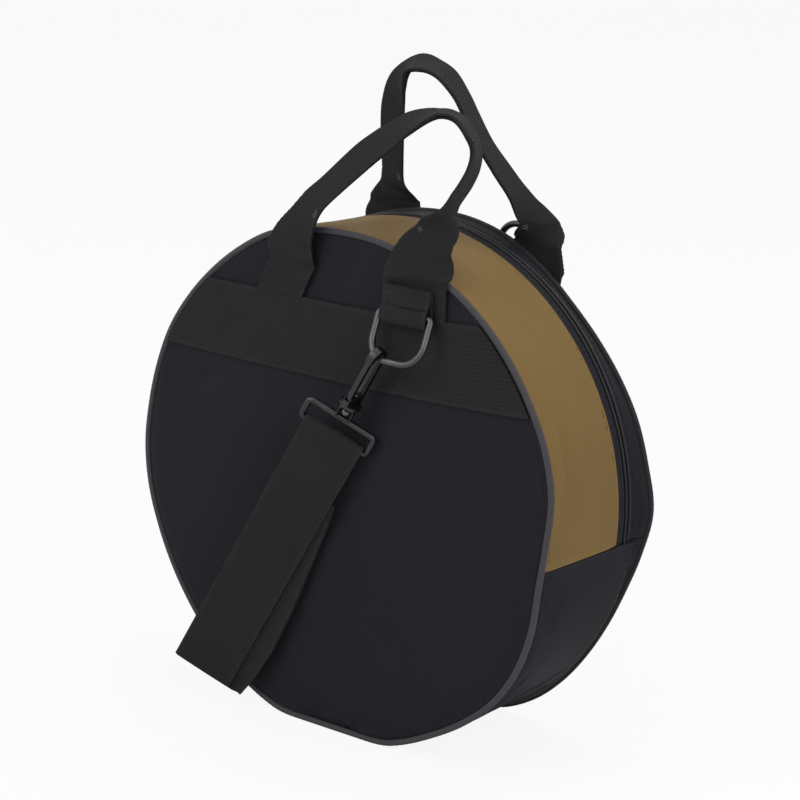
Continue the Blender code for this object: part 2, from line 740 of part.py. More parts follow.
def make_tab(name, side, bar_height, sewn_length):
    """Webbing tab folded round a ring's bar and sewn on the handle's right leg."""
    back, bar = tab_layers(side, bar_height)
    turn_radius = ring_wire + clearance + webbing_wall / 2
    front = back + side * (webbing_wall + clearance)
    bar_level = axis_height + bar_height
    top = bar_level + sewn_length
    mouth = bar_level + 3 * turn_radius
    path = [(back, top), (back, bar_level)]
    path += [(bar - side * turn_radius * math.cos(turn), bar_level - turn_radius * math.sin(turn))
             for turn in [math.pi * step / 8 for step in range(1, 9)]]
    path += [(front, mouth), (front, top)]
    half = tab_webbing / 2
    rows = [[Vector((ring_place + half * hand, depth, level)) for hand in (-1, 1)] for depth, level in path]
    return strip_part(name, rows, webbing_wall, "webbing", Vector((0, -side, 0)))


def ring_outline():
    """Centre line of a ring: across and drop from its bar."""
    top = ring_side_gap + ring_wire
    half = tab_webbing / 2 + top
    bow = ring_bow_corner
    points = arc((half - top, top), top, -math.pi / 2, 0, corner_steps)
    points += arc((half - bow, ring_drop - bow), bow, 0, math.pi / 2, 2 * corner_steps)
    points += arc((bow - half, ring_drop - bow), bow, math.pi / 2, math.pi, 2 * corner_steps)
    points += arc((top - half, top), top, math.pi, 1.5 * math.pi, corner_steps)
    return points


def ring_direction(side, tilt, up):
    """Unit vector from a ring's bar towards its bow."""
    return Vector((0, side * math.sin(tilt), (1 if up else -1) * math.cos(tilt)))


def make_ring(name, side, bar_height, tilt, up):
    """Wire ring whose straight bar lies in its tab; returns the ring and its bar's centre."""
    bar = Vector((ring_place, tab_layers(side, bar_height)[1], axis_height + bar_height))
    drop = ring_direction(side, tilt, up)
    points = [bar + Vector((across, 0, 0)) + drop * down for across, down in ring_outline()]
    mesh = tube_mesh(name, points, ring_wire, cyclic=True)
    return place_in_scene(name, mesh, "gunmetal"), bar


# Swivel hook, its eye and the shoulder strap
def hook_frame(bar):
    """Frame of the hook and its bow corner: local Z runs up its shaft, local Y points at the panel."""
    half = tab_webbing / 2 + ring_side_gap + ring_wire
    drop = ring_direction(-1, front_ring_tilt, False)
    corner = bar + Vector((ring_bow_corner - half, 0, 0)) + drop * (ring_drop - ring_bow_corner)
    wire = corner + Vector((-ring_bow_corner * math.sin(hook_wire_angle), 0, 0))
    wire += drop * ring_bow_corner * math.cos(hook_wire_angle)
    up = Vector((math.sin(hook_lean), 0, math.cos(hook_lean)))
    inward = Vector((0, 1, 0))
    across = inward.cross(up)
    frame = Matrix((across, inward, up)).transposed().to_4x4()
    wire_level = hook_bow_height + hook_throat_half - hook_wire_play - ring_wire
    frame.translation = wire - up * wire_level
    return frame, corner


def make_hook(frame):
    """Hook body with its swivel rivet and gate pin; outline pairs are outwards and up the shaft."""
    outer = hook_throat_half + hook_spine
    inner = hook_throat_half
    nose_foot = hook_bow_height - hook_nose_drop
    outline = [(-hook_base_half, clearance), (hook_base_half, clearance), (hook_base_half, hook_base_length),
               (-inner, hook_base_length)]
    outline += arc((0, hook_bow_height), inner, math.pi, 0, 2 * corner_steps)
    outline += [(inner, nose_foot), (outer, nose_foot)]
    outline += arc((0, hook_bow_height), outer, 0, math.pi, 2 * corner_steps)
    outline += [(-outer, hook_base_length)]
    body = place_in_scene("hook_body", plate_mesh("hook_body", [outline], hook_wall, frame @ plate_turn),
                          "dark steel")
    flange = make_cutter("hook_flange", rod_mesh("hook_flange", hook_flange_radius, 0, hook_flange_wall),
                         frame)
    boolean(body, flange, "UNION")
    bore = rod_mesh("hook_bore", rivet_radius + running_clearance, -cutter_overrun,
                    hook_base_length + cutter_overrun)
    boolean(body, make_cutter("hook_bore", bore, frame), "DIFFERENCE")
    pin_out, pin_up = gate_pivot()
    slot_half = gate_width / 2 + clearance
    slot_low = pin_up - gate_wall / 2 - clearance
    slot_back = rivet_radius + clearance + (hook_spine - gate_wall)
    slot = box_mesh("gate_slot", (-slot_half, -hook_base_half - cutter_overrun, slot_low),
                    (slot_half, -slot_back, hook_base_length + cutter_overrun))
    boolean(body, make_cutter("gate_slot", slot, frame), "DIFFERENCE")
    pocket_radius = spring_radius + spring_wire + clearance
    pocket = rod_mesh("spring_pocket", pocket_radius, spring_pocket_floor, slot_low + cutter_overrun)
    boolean(body, make_cutter("spring_pocket", pocket, frame @ Matrix.Translation((0, -pin_out, 0))),
            "DIFFERENCE")
    cross = frame @ Matrix.Translation((0, -pin_out, pin_up)) @ Matrix.Rotation(math.pi / 2, 4, "Y")
    reach = hook_wall / 2 + cutter_overrun
    boolean(body, make_cutter("pin_bore", rod_mesh("pin_bore", gate_pin_radius + running_clearance,
                                                   -reach, reach, 12), cross),
            "DIFFERENCE")
    weld(body)
    pin_mesh = rod_mesh("hook_gate_pin", gate_pin_radius, -hook_wall / 2, hook_wall / 2, 12)
    pin_mesh.transform(cross)
    pin = place_in_scene("hook_gate_pin", pin_mesh, "dark steel")
    spring_low = spring_pocket_floor + clearance + spring_wire
    spring_high = slot_low + clearance - spring_wire
    steps = 10 * spring_turns
    coil = [(spring_radius * math.cos(math.tau * step / 10),
             spring_radius * math.sin(math.tau * step / 10) - pin_out,
             spring_low + (spring_high - spring_low) * step / steps) for step in range(steps + 1)]
    spring_mesh = tube_mesh("hook_gate_spring", coil, spring_wire, resolution=1)
    spring_mesh.transform(frame)
    spring = place_in_scene("hook_gate_spring", spring_mesh, "dark steel")

    head_low = hook_base_length + clearance
    ball_top = -yoke_top_wall - 2 * clearance
    profile = [(0, head_low + rivet_head_wall), (rivet_head_radius, head_low + rivet_head_wall),
               (rivet_head_radius, head_low), (rivet_radius, head_low), (rivet_radius, ball_top)]
    profile += arc((0, ball_top - rivet_ball_radius * 0.4), rivet_ball_radius, math.asin(0.4),
                   -math.pi / 2, corner_steps)
    rivet = turned_part("hook_rivet", profile, frame, "gunmetal")
    return [body, pin, spring, rivet]


def turned_part(name, profile, frame, finish):
    """A piece turned about local Z from a profile that runs down its outer side."""
    mesh = bpy.data.meshes.new(name)
    verts = [(reach, 0, level) for reach, level in profile]
    mesh.from_pydata(verts, [(index, index + 1) for index in range(len(verts) - 1)], [])
    part = place_in_scene(name, mesh, finish)
    part.matrix_world = frame
    screw = part.modifiers.new("turn", "SCREW")
    screw.axis = "Z"
    screw.steps = 20
    screw.render_steps = 20
    screw.use_merge_vertices = True
    screw.merge_threshold = clearance / 20
    return part


def gate_pivot():
    """The gate pin's place in the hook: outwards from the shaft's axis and up it."""
    return hook_throat_half + hook_spine - gate_wall / 2 - clearance, hook_base_length - gate_pin_depth


def make_gate(frame):
    """Gate that closes the hook's mouth; its rounded foot turns on a pin in the base."""
    pin_out, pin_up = gate_pivot()
    high = hook_bow_height - hook_nose_drop - clearance
    half = gate_wall / 2
    outline = [(pin_out + half, high), (pin_out - half, high)]
    outline += arc((pin_out, pin_up), half, math.pi, math.tau, 2 * corner_steps)
    gate = place_in_scene("hook_gate", plate_mesh("hook_gate", [outline], gate_width, frame @ plate_turn),
                          "dark steel")
    cross = frame @ Matrix.Translation((0, -pin_out, pin_up)) @ Matrix.Rotation(math.pi / 2, 4, "Y")
    bore = rod_mesh("gate_bore", gate_pin_radius + running_clearance, -hook_wall, hook_wall, 12)
    boolean(gate, make_cutter("gate_bore", bore, cross), "DIFFERENCE")
    return gate, cross.translation.copy()


def rounded_frame(half_width, half_height, corner):
    """Centre line of a rectangular wire frame with rounded corners."""
    points = []
    for hand_x, hand_y, start in ((1, 1, 0), (-1, 1, 0.5), (-1, -1, 1), (1, -1, 1.5)):
        centre = (hand_x * (half_width - corner), hand_y * (half_height - corner))
        points += arc(centre, corner, math.pi * start, math.pi * (start + 0.5), corner_steps)
    return points


def make_eye(frame):
    """Rectangular wire eye with the yoke that turns on the rivet and holds its ball."""
    half_width = strap_webbing / 2 + eye_side_gap + eye_wire
    middle = -yoke_height - eye_height / 2
    corner = eye_side_gap + eye_wire
    points = [(across, 0, middle + up) for across, up in rounded_frame(half_width, eye_height / 2, corner)]
    mesh = tube_mesh("swivel_eye", points, eye_wire, cyclic=True)
    mesh.transform(frame)
    eye = place_in_scene("swivel_eye", mesh, "dark steel")
    yoke = box_mesh("eye_yoke", (-yoke_half_width, -yoke_half_depth, -yoke_height),
                    (yoke_half_width, yoke_half_depth, -clearance))
    boolean(eye, make_cutter("eye_yoke", yoke, frame), "UNION")
    window = box_mesh("yoke_window", (-yoke_window_half, -yoke_half_depth - cutter_overrun,
                                      eye_wire - yoke_height),
                      (yoke_window_half, yoke_half_depth + cutter_overrun, -clearance - yoke_top_wall))
    boolean(eye, make_cutter("yoke_window", window, frame), "DIFFERENCE")
    bore_low = -clearance - yoke_top_wall - cutter_overrun
    bore = rod_mesh("eye_bore", rivet_radius + running_clearance, bore_low, cutter_overrun, 18)
    boolean(eye, make_cutter("eye_bore", bore, frame), "DIFFERENCE")
    weld(eye)
    return eye, Vector((0, 0, middle - eye_height / 2))


def strap_path():
    """Route of the strap's middle: down from the eye's bar, outwards from it, and sideways shift."""
    turn = eye_wire + clearance + strap_wall / 2
    pitch = strap_wall + strap_fold_gap
    path = [(strap_sewn_length, turn - pitch, 0), (4 * turn, turn - pitch, 0)]
    path += [(-turn * math.sin(angle), -turn * math.cos(angle), 0)
             for angle in [math.pi * step / 8 for step in range(-1, 9)]]
    for layer in range(strap_layers):
        out = turn - layer * pitch
        shift = strap_layer_shift if layer else 0
        low = strap_bundle_length - strap_end_step * (layer // 2)
        high = strap_top_step + strap_end_step * (layer // 2)
        goes_down = layer % 2 == 0
        first = high if goes_down else low
        end = low if goes_down else high
        path += [(end, out, shift)] if layer == 0 else [(first, out, shift), (end, out, shift)]
        if layer < strap_layers - 1:
            sign = pitch / 2 if goes_down else -pitch / 2
            path += [(end + sign * math.sin(angle), out - pitch / 2 + pitch / 2 * math.cos(angle),
                      strap_layer_shift)
                     for angle in (math.pi / 4, math.pi / 2, math.pi * 3 / 4)]
    return path


def make_strap(frame, bar):
    """Shoulder strap: sewn round the eye's bar and folded to and fro into a flat bundle."""
    half = strap_webbing / 2
    rows = []
    for down, out, shift in strap_path():
        rows.append([frame @ (bar + Vector((shift + half * hand, -out, -down))) for hand in (-1, 1)])
    return strip_part("shoulder_strap", rows, strap_wall, "webbing", frame.to_3x3() @ Vector((0, 1, 0)))


# Assembly
def build():
    """Make every piece and hang the moving ones on their joints."""
    lid_joint = joint_empty("lid_fold_axis", Vector((0, hinge_depth, fold_height)))
    lid_pieces = make_panels() + make_edges() + make_gusset() + make_zip()
    lid_pieces += [make_band("rear_band", 1),
                   make_leg("rear_handle_left_leg", 1, rear_left_leg, rear_root_height),
                   make_leg("rear_handle_right_leg", 1, rear_right_leg, rear_root_height),
                   make_tab("rear_ring_tab", 1, rear_bar_height, rear_tab_length)]
    for piece in lid_pieces:
        hang(piece, lid_joint)
    make_slider()
    make_band("front_band", -1)
    make_leg("front_handle_left_leg", -1, front_left_leg, front_root_height)
    make_leg("front_handle_right_leg", -1, front_right_leg, front_root_height)
    make_tab("front_ring_tab", -1, front_bar_height, front_tab_length)

    swing_depth = loop_root_depth + webbing_wall / 2
    root_level = axis_height + clearance
    front_swing = joint_empty("front_handle_axis", Vector((0, -swing_depth, root_level + front_root_height)))
    rear_swing = joint_empty("rear_handle_axis", Vector((0, swing_depth, root_level + rear_root_height)),
                             lid_joint)
    hang(make_loop("front_handle", -1, front_loop_shares, front_root_height, front_loop_rise), front_swing)
    hang(make_loop("rear_handle", 1, rear_loop_shares, rear_root_height, rear_loop_rise), rear_swing)

    front_ring, front_bar = make_ring("front_ring", -1, front_bar_height, front_ring_tilt, up=False)
    rear_ring, rear_bar = make_ring("rear_ring", 1, rear_bar_height, -rear_ring_tilt, up=True)
    front_ring_joint = joint_empty("front_ring_axis", front_bar)
    hang(front_ring, front_ring_joint)
    hang(rear_ring, joint_empty("rear_ring_axis", rear_bar, lid_joint))

    frame, corner = hook_frame(front_bar)
    hook_joint = joint_empty("hook_axis", corner, front_ring_joint)
    for piece in make_hook(frame):
        hang(piece, hook_joint)
    gate, gate_place = make_gate(frame)
    hang(gate, joint_empty("hook_gate_axis", gate_place, hook_joint))
    rolled = frame @ Matrix.Rotation(strap_roll, 4, "Z")
    eye, bar = make_eye(rolled)
    eye_joint = joint_empty("swivel_axis", frame.translation, hook_joint)
    hang(eye, eye_joint)
    hang(make_strap(rolled, bar), joint_empty("strap_axis", rolled @ bar, eye_joint))


build()
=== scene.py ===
import math

import bpy
from mathutils import Matrix, Vector


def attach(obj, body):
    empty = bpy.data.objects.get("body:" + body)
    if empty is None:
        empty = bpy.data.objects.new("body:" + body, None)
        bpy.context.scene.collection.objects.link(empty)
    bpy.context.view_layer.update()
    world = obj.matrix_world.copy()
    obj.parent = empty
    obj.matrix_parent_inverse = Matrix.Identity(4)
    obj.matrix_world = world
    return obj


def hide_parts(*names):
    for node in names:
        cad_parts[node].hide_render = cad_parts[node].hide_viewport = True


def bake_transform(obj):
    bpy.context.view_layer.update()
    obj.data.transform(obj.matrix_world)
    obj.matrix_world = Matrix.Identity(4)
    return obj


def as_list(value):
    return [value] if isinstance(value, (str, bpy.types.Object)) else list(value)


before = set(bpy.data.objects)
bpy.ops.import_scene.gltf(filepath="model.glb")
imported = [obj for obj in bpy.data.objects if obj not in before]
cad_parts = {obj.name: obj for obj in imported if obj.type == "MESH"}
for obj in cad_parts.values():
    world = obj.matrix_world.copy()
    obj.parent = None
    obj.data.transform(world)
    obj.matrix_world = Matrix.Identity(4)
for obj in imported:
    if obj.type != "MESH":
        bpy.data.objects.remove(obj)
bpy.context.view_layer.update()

bl_info = {
    "name": "Tambourine case",
    "version": (1, 0, 0),
    "blender": (4, 5, 0),
    "location": "3D View > Sidebar > Case",
    "description": "Dresses the packed frame of a round tambourine case in cloth, webbing and metal",
    "category": "Object",
}

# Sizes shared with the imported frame, in metres
bag_radius = 0.150
bag_depth = 0.094
base_flat = 0.0033
clearance = 0.0003
cloth_wall = 0.0010
lining_wall = 0.0008
panel_foam_wall = 0.0060
gusset_foam_wall = 0.0030
panel_crown = 0.0040
piping_radius = 0.0019
binding_radius = 0.0016
zip_depth = 0.0305
zip_opening_width = 0.0070
zip_strip_width = 0.0050
zip_tape_wall = 0.0006
zip_tape_width = 0.0078
zip_coil_radius = 0.0011
zip_centre_gap = 0.0011
zip_end_angle = math.radians(6)
slider_parking_angle = math.radians(5)
end_tab_length = 0.0155
end_tab_width = 0.0150
webbing_wall = 0.0014
band_width = 0.0440
band_centre_height = 0.0885
handle_webbing = 0.0440
front_root_height = 0.1300
rear_root_height = 0.1525
handle_half_span = 0.0520
front_loop_rise = 0.0900
rear_loop_rise = 0.0845
loop_lean = 0.0360
tab_webbing = 0.0320
front_tab_length = 0.0150
rear_tab_length = 0.0140
ring_side_gap = 0.0004
ring_wire = 0.0019
ring_drop = 0.0275
ring_bow_corner = 0.0130
ring_place = 0.0550
front_bar_height = 0.1145
rear_bar_height = 0.1220
front_ring_tilt = math.radians(22)
rear_ring_tilt = math.radians(3)
hook_lean = math.radians(31)
hook_wire_angle = math.radians(29)
hook_throat_half = 0.0030
hook_wire_play = 0.0007
hook_bow_height = 0.0365
strap_webbing = 0.0380
strap_wall = 0.0012
strap_fold_gap = 0.0003
strap_bundle_length = 0.1915
strap_sewn_length = 0.0300
strap_layers = 5
strap_top_step = 0.0420
strap_end_step = 0.0040
strap_layer_shift = 0.0040
strap_roll = math.radians(22)
eye_wire = 0.0019
eye_side_gap = 0.0006
eye_height = 0.0125
yoke_half_width = 0.0050
yoke_half_depth = 0.0026
yoke_top_wall = 0.0026
yoke_height = 0.0100
yoke_window_half = 0.0034

# Sizes of the dressing itself
rest_easing = 0.0025
thread_radius = 0.00022
stitch_steps = 6
seam_inset = 0.0022
seam_lift = 0.0002
doubles_reach = 0.00002
padding_share = 0.96
cover_hold = 0.0030
cover_reach = 0.0016
cover_ease = 0.0200
band_hold = 0.0040
band_ease = 0.0020
padding_edge = 0.0100
padding_drop = 0.0012
padding_lift_share = 0.02
gusset_puff = 0.0003
strip_puff = 0.0002
gusset_hold = 0.0020
foot_hold = 0.0040
gusset_reach = 0.0011
foot_ease = 0.0200
hem_share = 0.98
hem_wall = 0.00042
hem_drop = 0.00054
narrowest_cut = 0.0100
coil_pitch = 0.0015
slider_corner = 0.00022
lid_fold_reach = 0.0060
fold_turn_length = 0.0035
fold_radius = (webbing_wall + 0.0004) / 2
leg_steps = 48
loop_samples = 12
upright_samples = 36
rear_fold_starts = (0.1400, 0.1230)
rear_twist_height = 0.0130
rim_clearance = 0.0020
rim_slope = 1.6
crease_edge = 0.0030
leg_seam_height = 0.0080
handle_bend = (-0.0030, 0.0070)
tack_inset = 0.0028
tack_width = 0.0036
tack_height = 0.0044
tab_slack = 0.0030
tab_mouth_share = 3.2
tab_seam = (-0.0045, -0.0015)
ring_pitch = 0.0015
ring_wire_share = 1.04
hook_corner = 0.0005
gate_corner = 0.0004
gate_rivet_corner = 0.00015
swivel_rivet_corner = 0.0003
eye_pitch = 0.0012
yoke_pitch = 0.0008
yoke_top_corner = 0.0020
yoke_foot_corner = 0.0010
strap_steps = 44
strap_start = 0.0020
strap_seam_top = 0.0080
strap_wave = 0.0004
strap_wave_ease = 0.0500
floor_size = 8.0
floor_glow_share = 0.90

axis_height = bag_radius - base_flat
half_depth = bag_depth / 2
piping_path_radius = bag_radius - clearance
cover_radius = piping_path_radius - piping_radius - clearance
gusset_edge = half_depth - piping_radius - clearance
gusset_foam_radius = bag_radius - cloth_wall - clearance
inside_radius = gusset_foam_radius - gusset_foam_wall - clearance - lining_wall
panel_core_radius = inside_radius - clearance
fold_height = axis_height - bag_radius * math.sin(zip_end_angle)
loop_root_depth = half_depth + piping_radius + clearance + webbing_wall / 2
strip_edge = zip_depth - zip_opening_width / 2
gold_edge = strip_edge - zip_strip_width - clearance
end_slack = 2 * clearance / bag_radius
top_arc = (-zip_end_angle, math.pi + zip_end_angle)
bottom_arc = (math.pi + zip_end_angle + end_slack, math.tau - zip_end_angle - end_slack)

# How far the front seam swells past a true circle, in millimetres, every ten degrees from +X over the top
front_swell = (0.3, 5.0, 6.5, 6.0, 5.8, 5.4, 4.5, 3.6, 2.8, 1.8, 2.0, 2.6,
               1.2, 0.2, 0.0, 0.2, -0.6, -0.8, 0.1, -0.3, -1.8, -2.5, -2.6, -1.8,
               -0.8, -0.2, 0.0, 0.0, 0.0, 0.1, 0.2, 2.0, 4.0, 3.8, 1.6, -1.4)

# The same for the rear seam
rear_swell = ((4.8, 2.0, 0.2, -2.5, -4.6, -5.2, -3.2, -0.8) + (0.0,) * 20
              + (1.5, 4.0, 4.0, 1.8, -0.8, -2.3, -2.0, 1.0))


class CaseSettings(bpy.types.PropertyGroup):
    """Colours and sizes that a user may change."""
    nylon_colour: bpy.props.FloatVectorProperty(
        name="Nylon colour", description="Colour of the panels, base and zip strips", subtype="COLOR",
        default=(0.0162, 0.0164, 0.0205), min=0, max=1)
    gold_colour: bpy.props.FloatVectorProperty(
        name="Gold colour", description="Colour of the band over the top", subtype="COLOR",
        default=(0.1900, 0.1210, 0.0440), min=0, max=1)
    webbing_colour: bpy.props.FloatVectorProperty(
        name="Webbing colour", description="Colour of the handles, bands and strap", subtype="COLOR",
        default=(0.0212, 0.0198, 0.0200), min=0, max=1)
    piping_colour: bpy.props.FloatVectorProperty(
        name="Piping colour", description="Colour of the piping round both panels", subtype="COLOR",
        default=(0.0520, 0.0480, 0.0530), min=0, max=1)
    lining_colour: bpy.props.FloatVectorProperty(
        name="Lining colour", description="Colour of the lining inside", subtype="COLOR",
        default=(0.0600, 0.0600, 0.0640), min=0, max=1)
    thread_pitch: bpy.props.FloatProperty(
        name="Thread pitch", description="Distance between threads of the nylon", unit="LENGTH",
        default=0.0006, min=0.0002, max=0.003)
    rib_pitch: bpy.props.FloatProperty(
        name="Rib pitch", description="Distance between ribs of the webbing", unit="LENGTH",
        default=0.0016, min=0.0005, max=0.005)
    stitch_length: bpy.props.FloatProperty(
        name="Stitch length", description="Length of one stitch with its gap", unit="LENGTH",
        default=0.0034, min=0.001, max=0.01)
    cover_slack: bpy.props.FloatProperty(
        name="Cover slack", description="Spare width of the covers over their padding", subtype="FACTOR",
        default=0.012, min=0, max=0.1)
    camera_distance: bpy.props.FloatProperty(
        name="Camera distance", description="From the camera to the middle of the view", unit="LENGTH",
        default=1.6, min=0.5, max=5)


def settings():
    """The case's settings in this scene."""
    return bpy.context.scene.tambourine_case


# Shader helpers
class Signal:
    """A socket of a material; arithmetic on it adds Math nodes."""

    def __init__(self, paint, socket):
        self.paint = paint
        self.socket = socket

    def math(self, operation, *values):
        """A Math node on this signal and others."""
        inputs = dict(enumerate((self,) + values))
        return self.paint.node("ShaderNodeMath", {"operation": operation}, inputs)

    def __add__(self, other):
        return self.math("ADD", other)

    __radd__ = __add__

    def __mul__(self, other):
        return self.math("MULTIPLY", other)

    __rmul__ = __mul__

    def __sub__(self, other):
        return self.math("SUBTRACT", other)

    def __rsub__(self, other):
        return (self * -1).math("ADD", other)

    def __truediv__(self, other):
        return self.math("DIVIDE", other)

    def __pow__(self, other):
        return self.math("POWER", other)

    def wave(self):
        """Sine of the signal."""
        return self.math("SINE")

    def size(self):
        """The signal without its sign."""
        return self.math("ABSOLUTE")

    def held(self, low=0.0, high=1.0):
        """The signal kept between two values."""
        return self.math("MAXIMUM", low).math("MINIMUM", high)

    def towards(self, other, share):
        """The signal moved towards another by a share."""
        return self + (other - self) * share


def socket_name(word):
    """The shader socket that a keyword stands for."""
    return word.replace("_", " ").title().replace("Ior", "IOR")


class Paint:
    """A material under construction."""

    def __init__(self, name, roughness=0.6, metallic=0.0, **constants):
        self.material = bpy.data.materials.new(name)
        self.material.use_nodes = True
        self.tree = self.material.node_tree
        self.shader = self.tree.nodes["Principled BSDF"]
        self.shader.inputs["Roughness"].default_value = roughness
        self.shader.inputs["Metallic"].default_value = metallic
        for socket, value in constants.items():
            self.shader.inputs[socket_name(socket)].default_value = value

    def node(self, kind, options=None, inputs=None, output=0):
        """A node with its settings and its inputs' values or links."""
        node = self.tree.nodes.new(kind)
        for key, value in (options or {}).items():
            if key == "stops":
                while len(node.color_ramp.elements) < len(value):
                    node.color_ramp.elements.new(0.5)
                for element, (place, colour) in zip(node.color_ramp.elements, value):
                    element.position = place
                    element.color = colour
            else:
                setattr(node, key, value)
        for key, value in (inputs or {}).items():
            if isinstance(value, Signal):
                self.tree.links.new(value.socket, node.inputs[key])
            else:
                node.inputs[key].default_value = value
        return Signal(self, node.outputs[output])

    def split(self, vector):
        """The three numbers of a vector."""
        node = self.tree.nodes.new("ShaderNodeSeparateXYZ")
        self.tree.links.new(vector.socket, node.inputs[0])
        return [Signal(self, output) for output in node.outputs]

    def cloth_place(self):
        """Where a point lies in the flat cloth, in metres."""
        across, along, _ = self.split(self.node("ShaderNodeUVMap", {"uv_map": "cloth"}))
        return across, along

    def object_place(self):
        """Object coordinates."""
        return self.node("ShaderNodeTexCoord", output="Object")

    def noise(self, scale, detail=3.0, roughness=0.5, vector=None):
        """Soft noise between 0 and 1."""
        place = vector or self.object_place()
        return self.node("ShaderNodeTexNoise", {}, {
            "Vector": place, "Scale": scale, "Detail": detail, "Roughness": roughness})

    def attribute(self, name):
        """A number stored on the mesh."""
        return self.node("ShaderNodeAttribute", {"attribute_name": name}, output="Fac")

    def blend(self, first, second, share):
        """Mix two colours."""
        node = self.tree.nodes.new("ShaderNodeMix")
        node.data_type = "RGBA"
        for socket, value in ((node.inputs[0], share), (node.inputs[6], first), (node.inputs[7], second)):
            if isinstance(value, Signal):
                self.tree.links.new(value.socket, socket)
            else:
                socket.default_value = value
        return Signal(self, node.outputs[2])

    def feed(self, **signals):
        """Link signals into the shader."""
        for socket, signal in signals.items():
            self.tree.links.new(signal.socket, self.shader.inputs[socket_name(socket)])

    def bump(self, height, strength, distance):
        """A bumped normal from a height."""
        return self.node("ShaderNodeBump", {}, {"Height": height, "Strength": strength, "Distance": distance})


def shade(colour, factor):
    """A colour made darker or lighter."""
    return (*(min(channel * factor, 1.0) for channel in colour[:3]), 1.0)


def plain_weave(paint, pitch):
    """Height of a plain weave from the place in the cloth."""
    across, along = paint.cloth_place()
    warp = (across * (math.pi / pitch)).wave()
    weft = (along * (math.pi / pitch)).wave()
    over = (warp * weft * 3 + 0.5).held()
    return weft.size().towards(warp.size(), over)


def cloth_paint(name, colour, pitch, wear=1.35, roughness=0.66, sheen=0.015, depth=0.00016):
    """Coated nylon: fine plain weave, uneven dye, rubbed edges."""
    paint = Paint(name, roughness, sheen_weight=sheen, sheen_roughness=0.4, specular_ior_level=0.06)
    weave = plain_weave(paint, pitch)
    blotch = paint.noise(9.0, 4.0, 0.55)
    speck = paint.noise(420.0, 2.0, 0.6)
    edge = paint.attribute("edge")
    rub = (1 - edge / 0.006).held() * (paint.noise(60.0, 3.0, 0.6) * 1.8 - 0.35).held()
    body = paint.blend(shade(colour, 0.90), shade(colour, 1.12), (blotch * 1.6 - 0.3).held())
    threads = paint.blend(shade(colour, 0.72), body, (weave * 0.9 + 0.35).held())
    worn = paint.blend(threads, shade(colour, wear), rub * 0.55)
    paint.feed(base_color=worn, roughness=roughness + (speck - 0.5) * 0.14 - rub * 0.05)
    creases = paint.noise(34.0, 3.0, 0.5) * 0.5
    paint.feed(normal=paint.bump(weave * 0.55 + speck * 0.2 + creases * 1.4, 0.55, depth))
    return paint.material


def webbing_paint(name, colour, pitch, roughness=0.72):
    """Polypropylene webbing: slanting rows between ribs, with a tight edge and a little fluff."""
    paint = Paint(name, roughness, sheen_weight=0.015, sheen_roughness=0.45, specular_ior_level=0.06)
    across, along = paint.cloth_place()
    rib = (across * (math.pi / (pitch * 1.35))).wave().size()
    slant = (across / (pitch * 2.7)).math("PINGPONG", 1.0) * (pitch * 0.9)
    row = ((along + slant) * (math.pi / pitch)).wave().size()
    height = (rib ** 0.6) * (row ** 0.7)
    edge = paint.attribute("edge")
    selvedge = (1 - edge / 0.0022).held()
    fluff = paint.noise(700.0, 2.0, 0.7)
    shadow = paint.noise(26.0, 4.0, 0.6)
    rub = (1 - edge / 0.004).held() * (paint.noise(90.0, 3.0, 0.6) * 2 - 0.55).held()
    base = paint.blend(shade(colour, 0.62), shade(colour, 1.22), (height * 0.8 + fluff * 0.25).held())
    uneven = paint.blend(base, shade(colour, 1.35), (shadow * 1.7 - 0.65).held() * 0.45)
    worn = paint.blend(uneven, shade(colour, 1.9), rub * 0.4)
    paint.feed(base_color=worn, roughness=roughness + (fluff - 0.5) * 0.16)
    relief = height * (1 - selvedge * 0.55) + fluff * 0.18 + selvedge * 0.25
    paint.feed(normal=paint.bump(relief, 0.75, 0.00035))
    return paint.material


def piping_paint(name, colour):
    """Grey bias tape wrapped round a cord: slanting threads and rubbed high spots."""
    paint = Paint(name, 0.52, sheen_weight=0.02, specular_ior_level=0.16)
    across, along = paint.cloth_place()
    thread = ((along + across) * (math.pi / 0.00055)).wave().size()
    pull = ((along - across * 0.6) * (math.pi / 0.0034)).wave().size()
    dirt = paint.noise(40.0, 4.0, 0.6)
    grain = paint.noise(520.0, 2.0, 0.6)
    base = paint.blend(shade(colour, 0.75), shade(colour, 1.22), (thread * 0.45 + dirt * 0.75 - 0.1).held())
    paint.feed(base_color=base, roughness=0.46 + dirt * 0.18)
    paint.feed(normal=paint.bump(thread * 0.35 + (1 - pull) ** 6 * 0.8 + grain * 0.2, 0.6, 0.00025))
    return paint.material


def thread_paint(name, colour):
    """Twisted sewing thread."""
    paint = Paint(name, 0.60, sheen_weight=0.03, specular_ior_level=0.1)
    grain = paint.noise(900.0, 2.0, 0.6)
    paint.feed(base_color=paint.blend(shade(colour, 0.75), shade(colour, 1.3), grain))
    paint.feed(normal=paint.bump(grain, 0.5, 0.0001))
    return paint.material


def metal_paint(name, colour, roughness, wear=1.9):
    """Plated metal: fine scratches, cloudy patches and brighter rubbed places."""
    paint = Paint(name, roughness, metallic=1.0)
    cloud = paint.noise(55.0, 4.0, 0.55)
    stretched = paint.node("ShaderNodeMapping", {}, {
        "Vector": paint.object_place(), "Rotation": (0.4, 0.9, 0.2), "Scale": (1.0, 14.0, 1.0)})
    scratch = paint.noise(260.0, 2.0, 0.7, stretched)
    rub = ((cloud - 0.56) * 5).held() * 0.5
    base = paint.blend(shade(colour, 0.85), shade(colour, 1.15), cloud)
    paint.feed(base_color=paint.blend(base, shade(colour, wear), rub))
    paint.feed(roughness=roughness + (scratch - 0.5) * 0.22 - rub * 0.08)
    paint.feed(normal=paint.bump(scratch * 0.5 + cloud * 0.5, 0.25, 0.00012))
    return paint.material


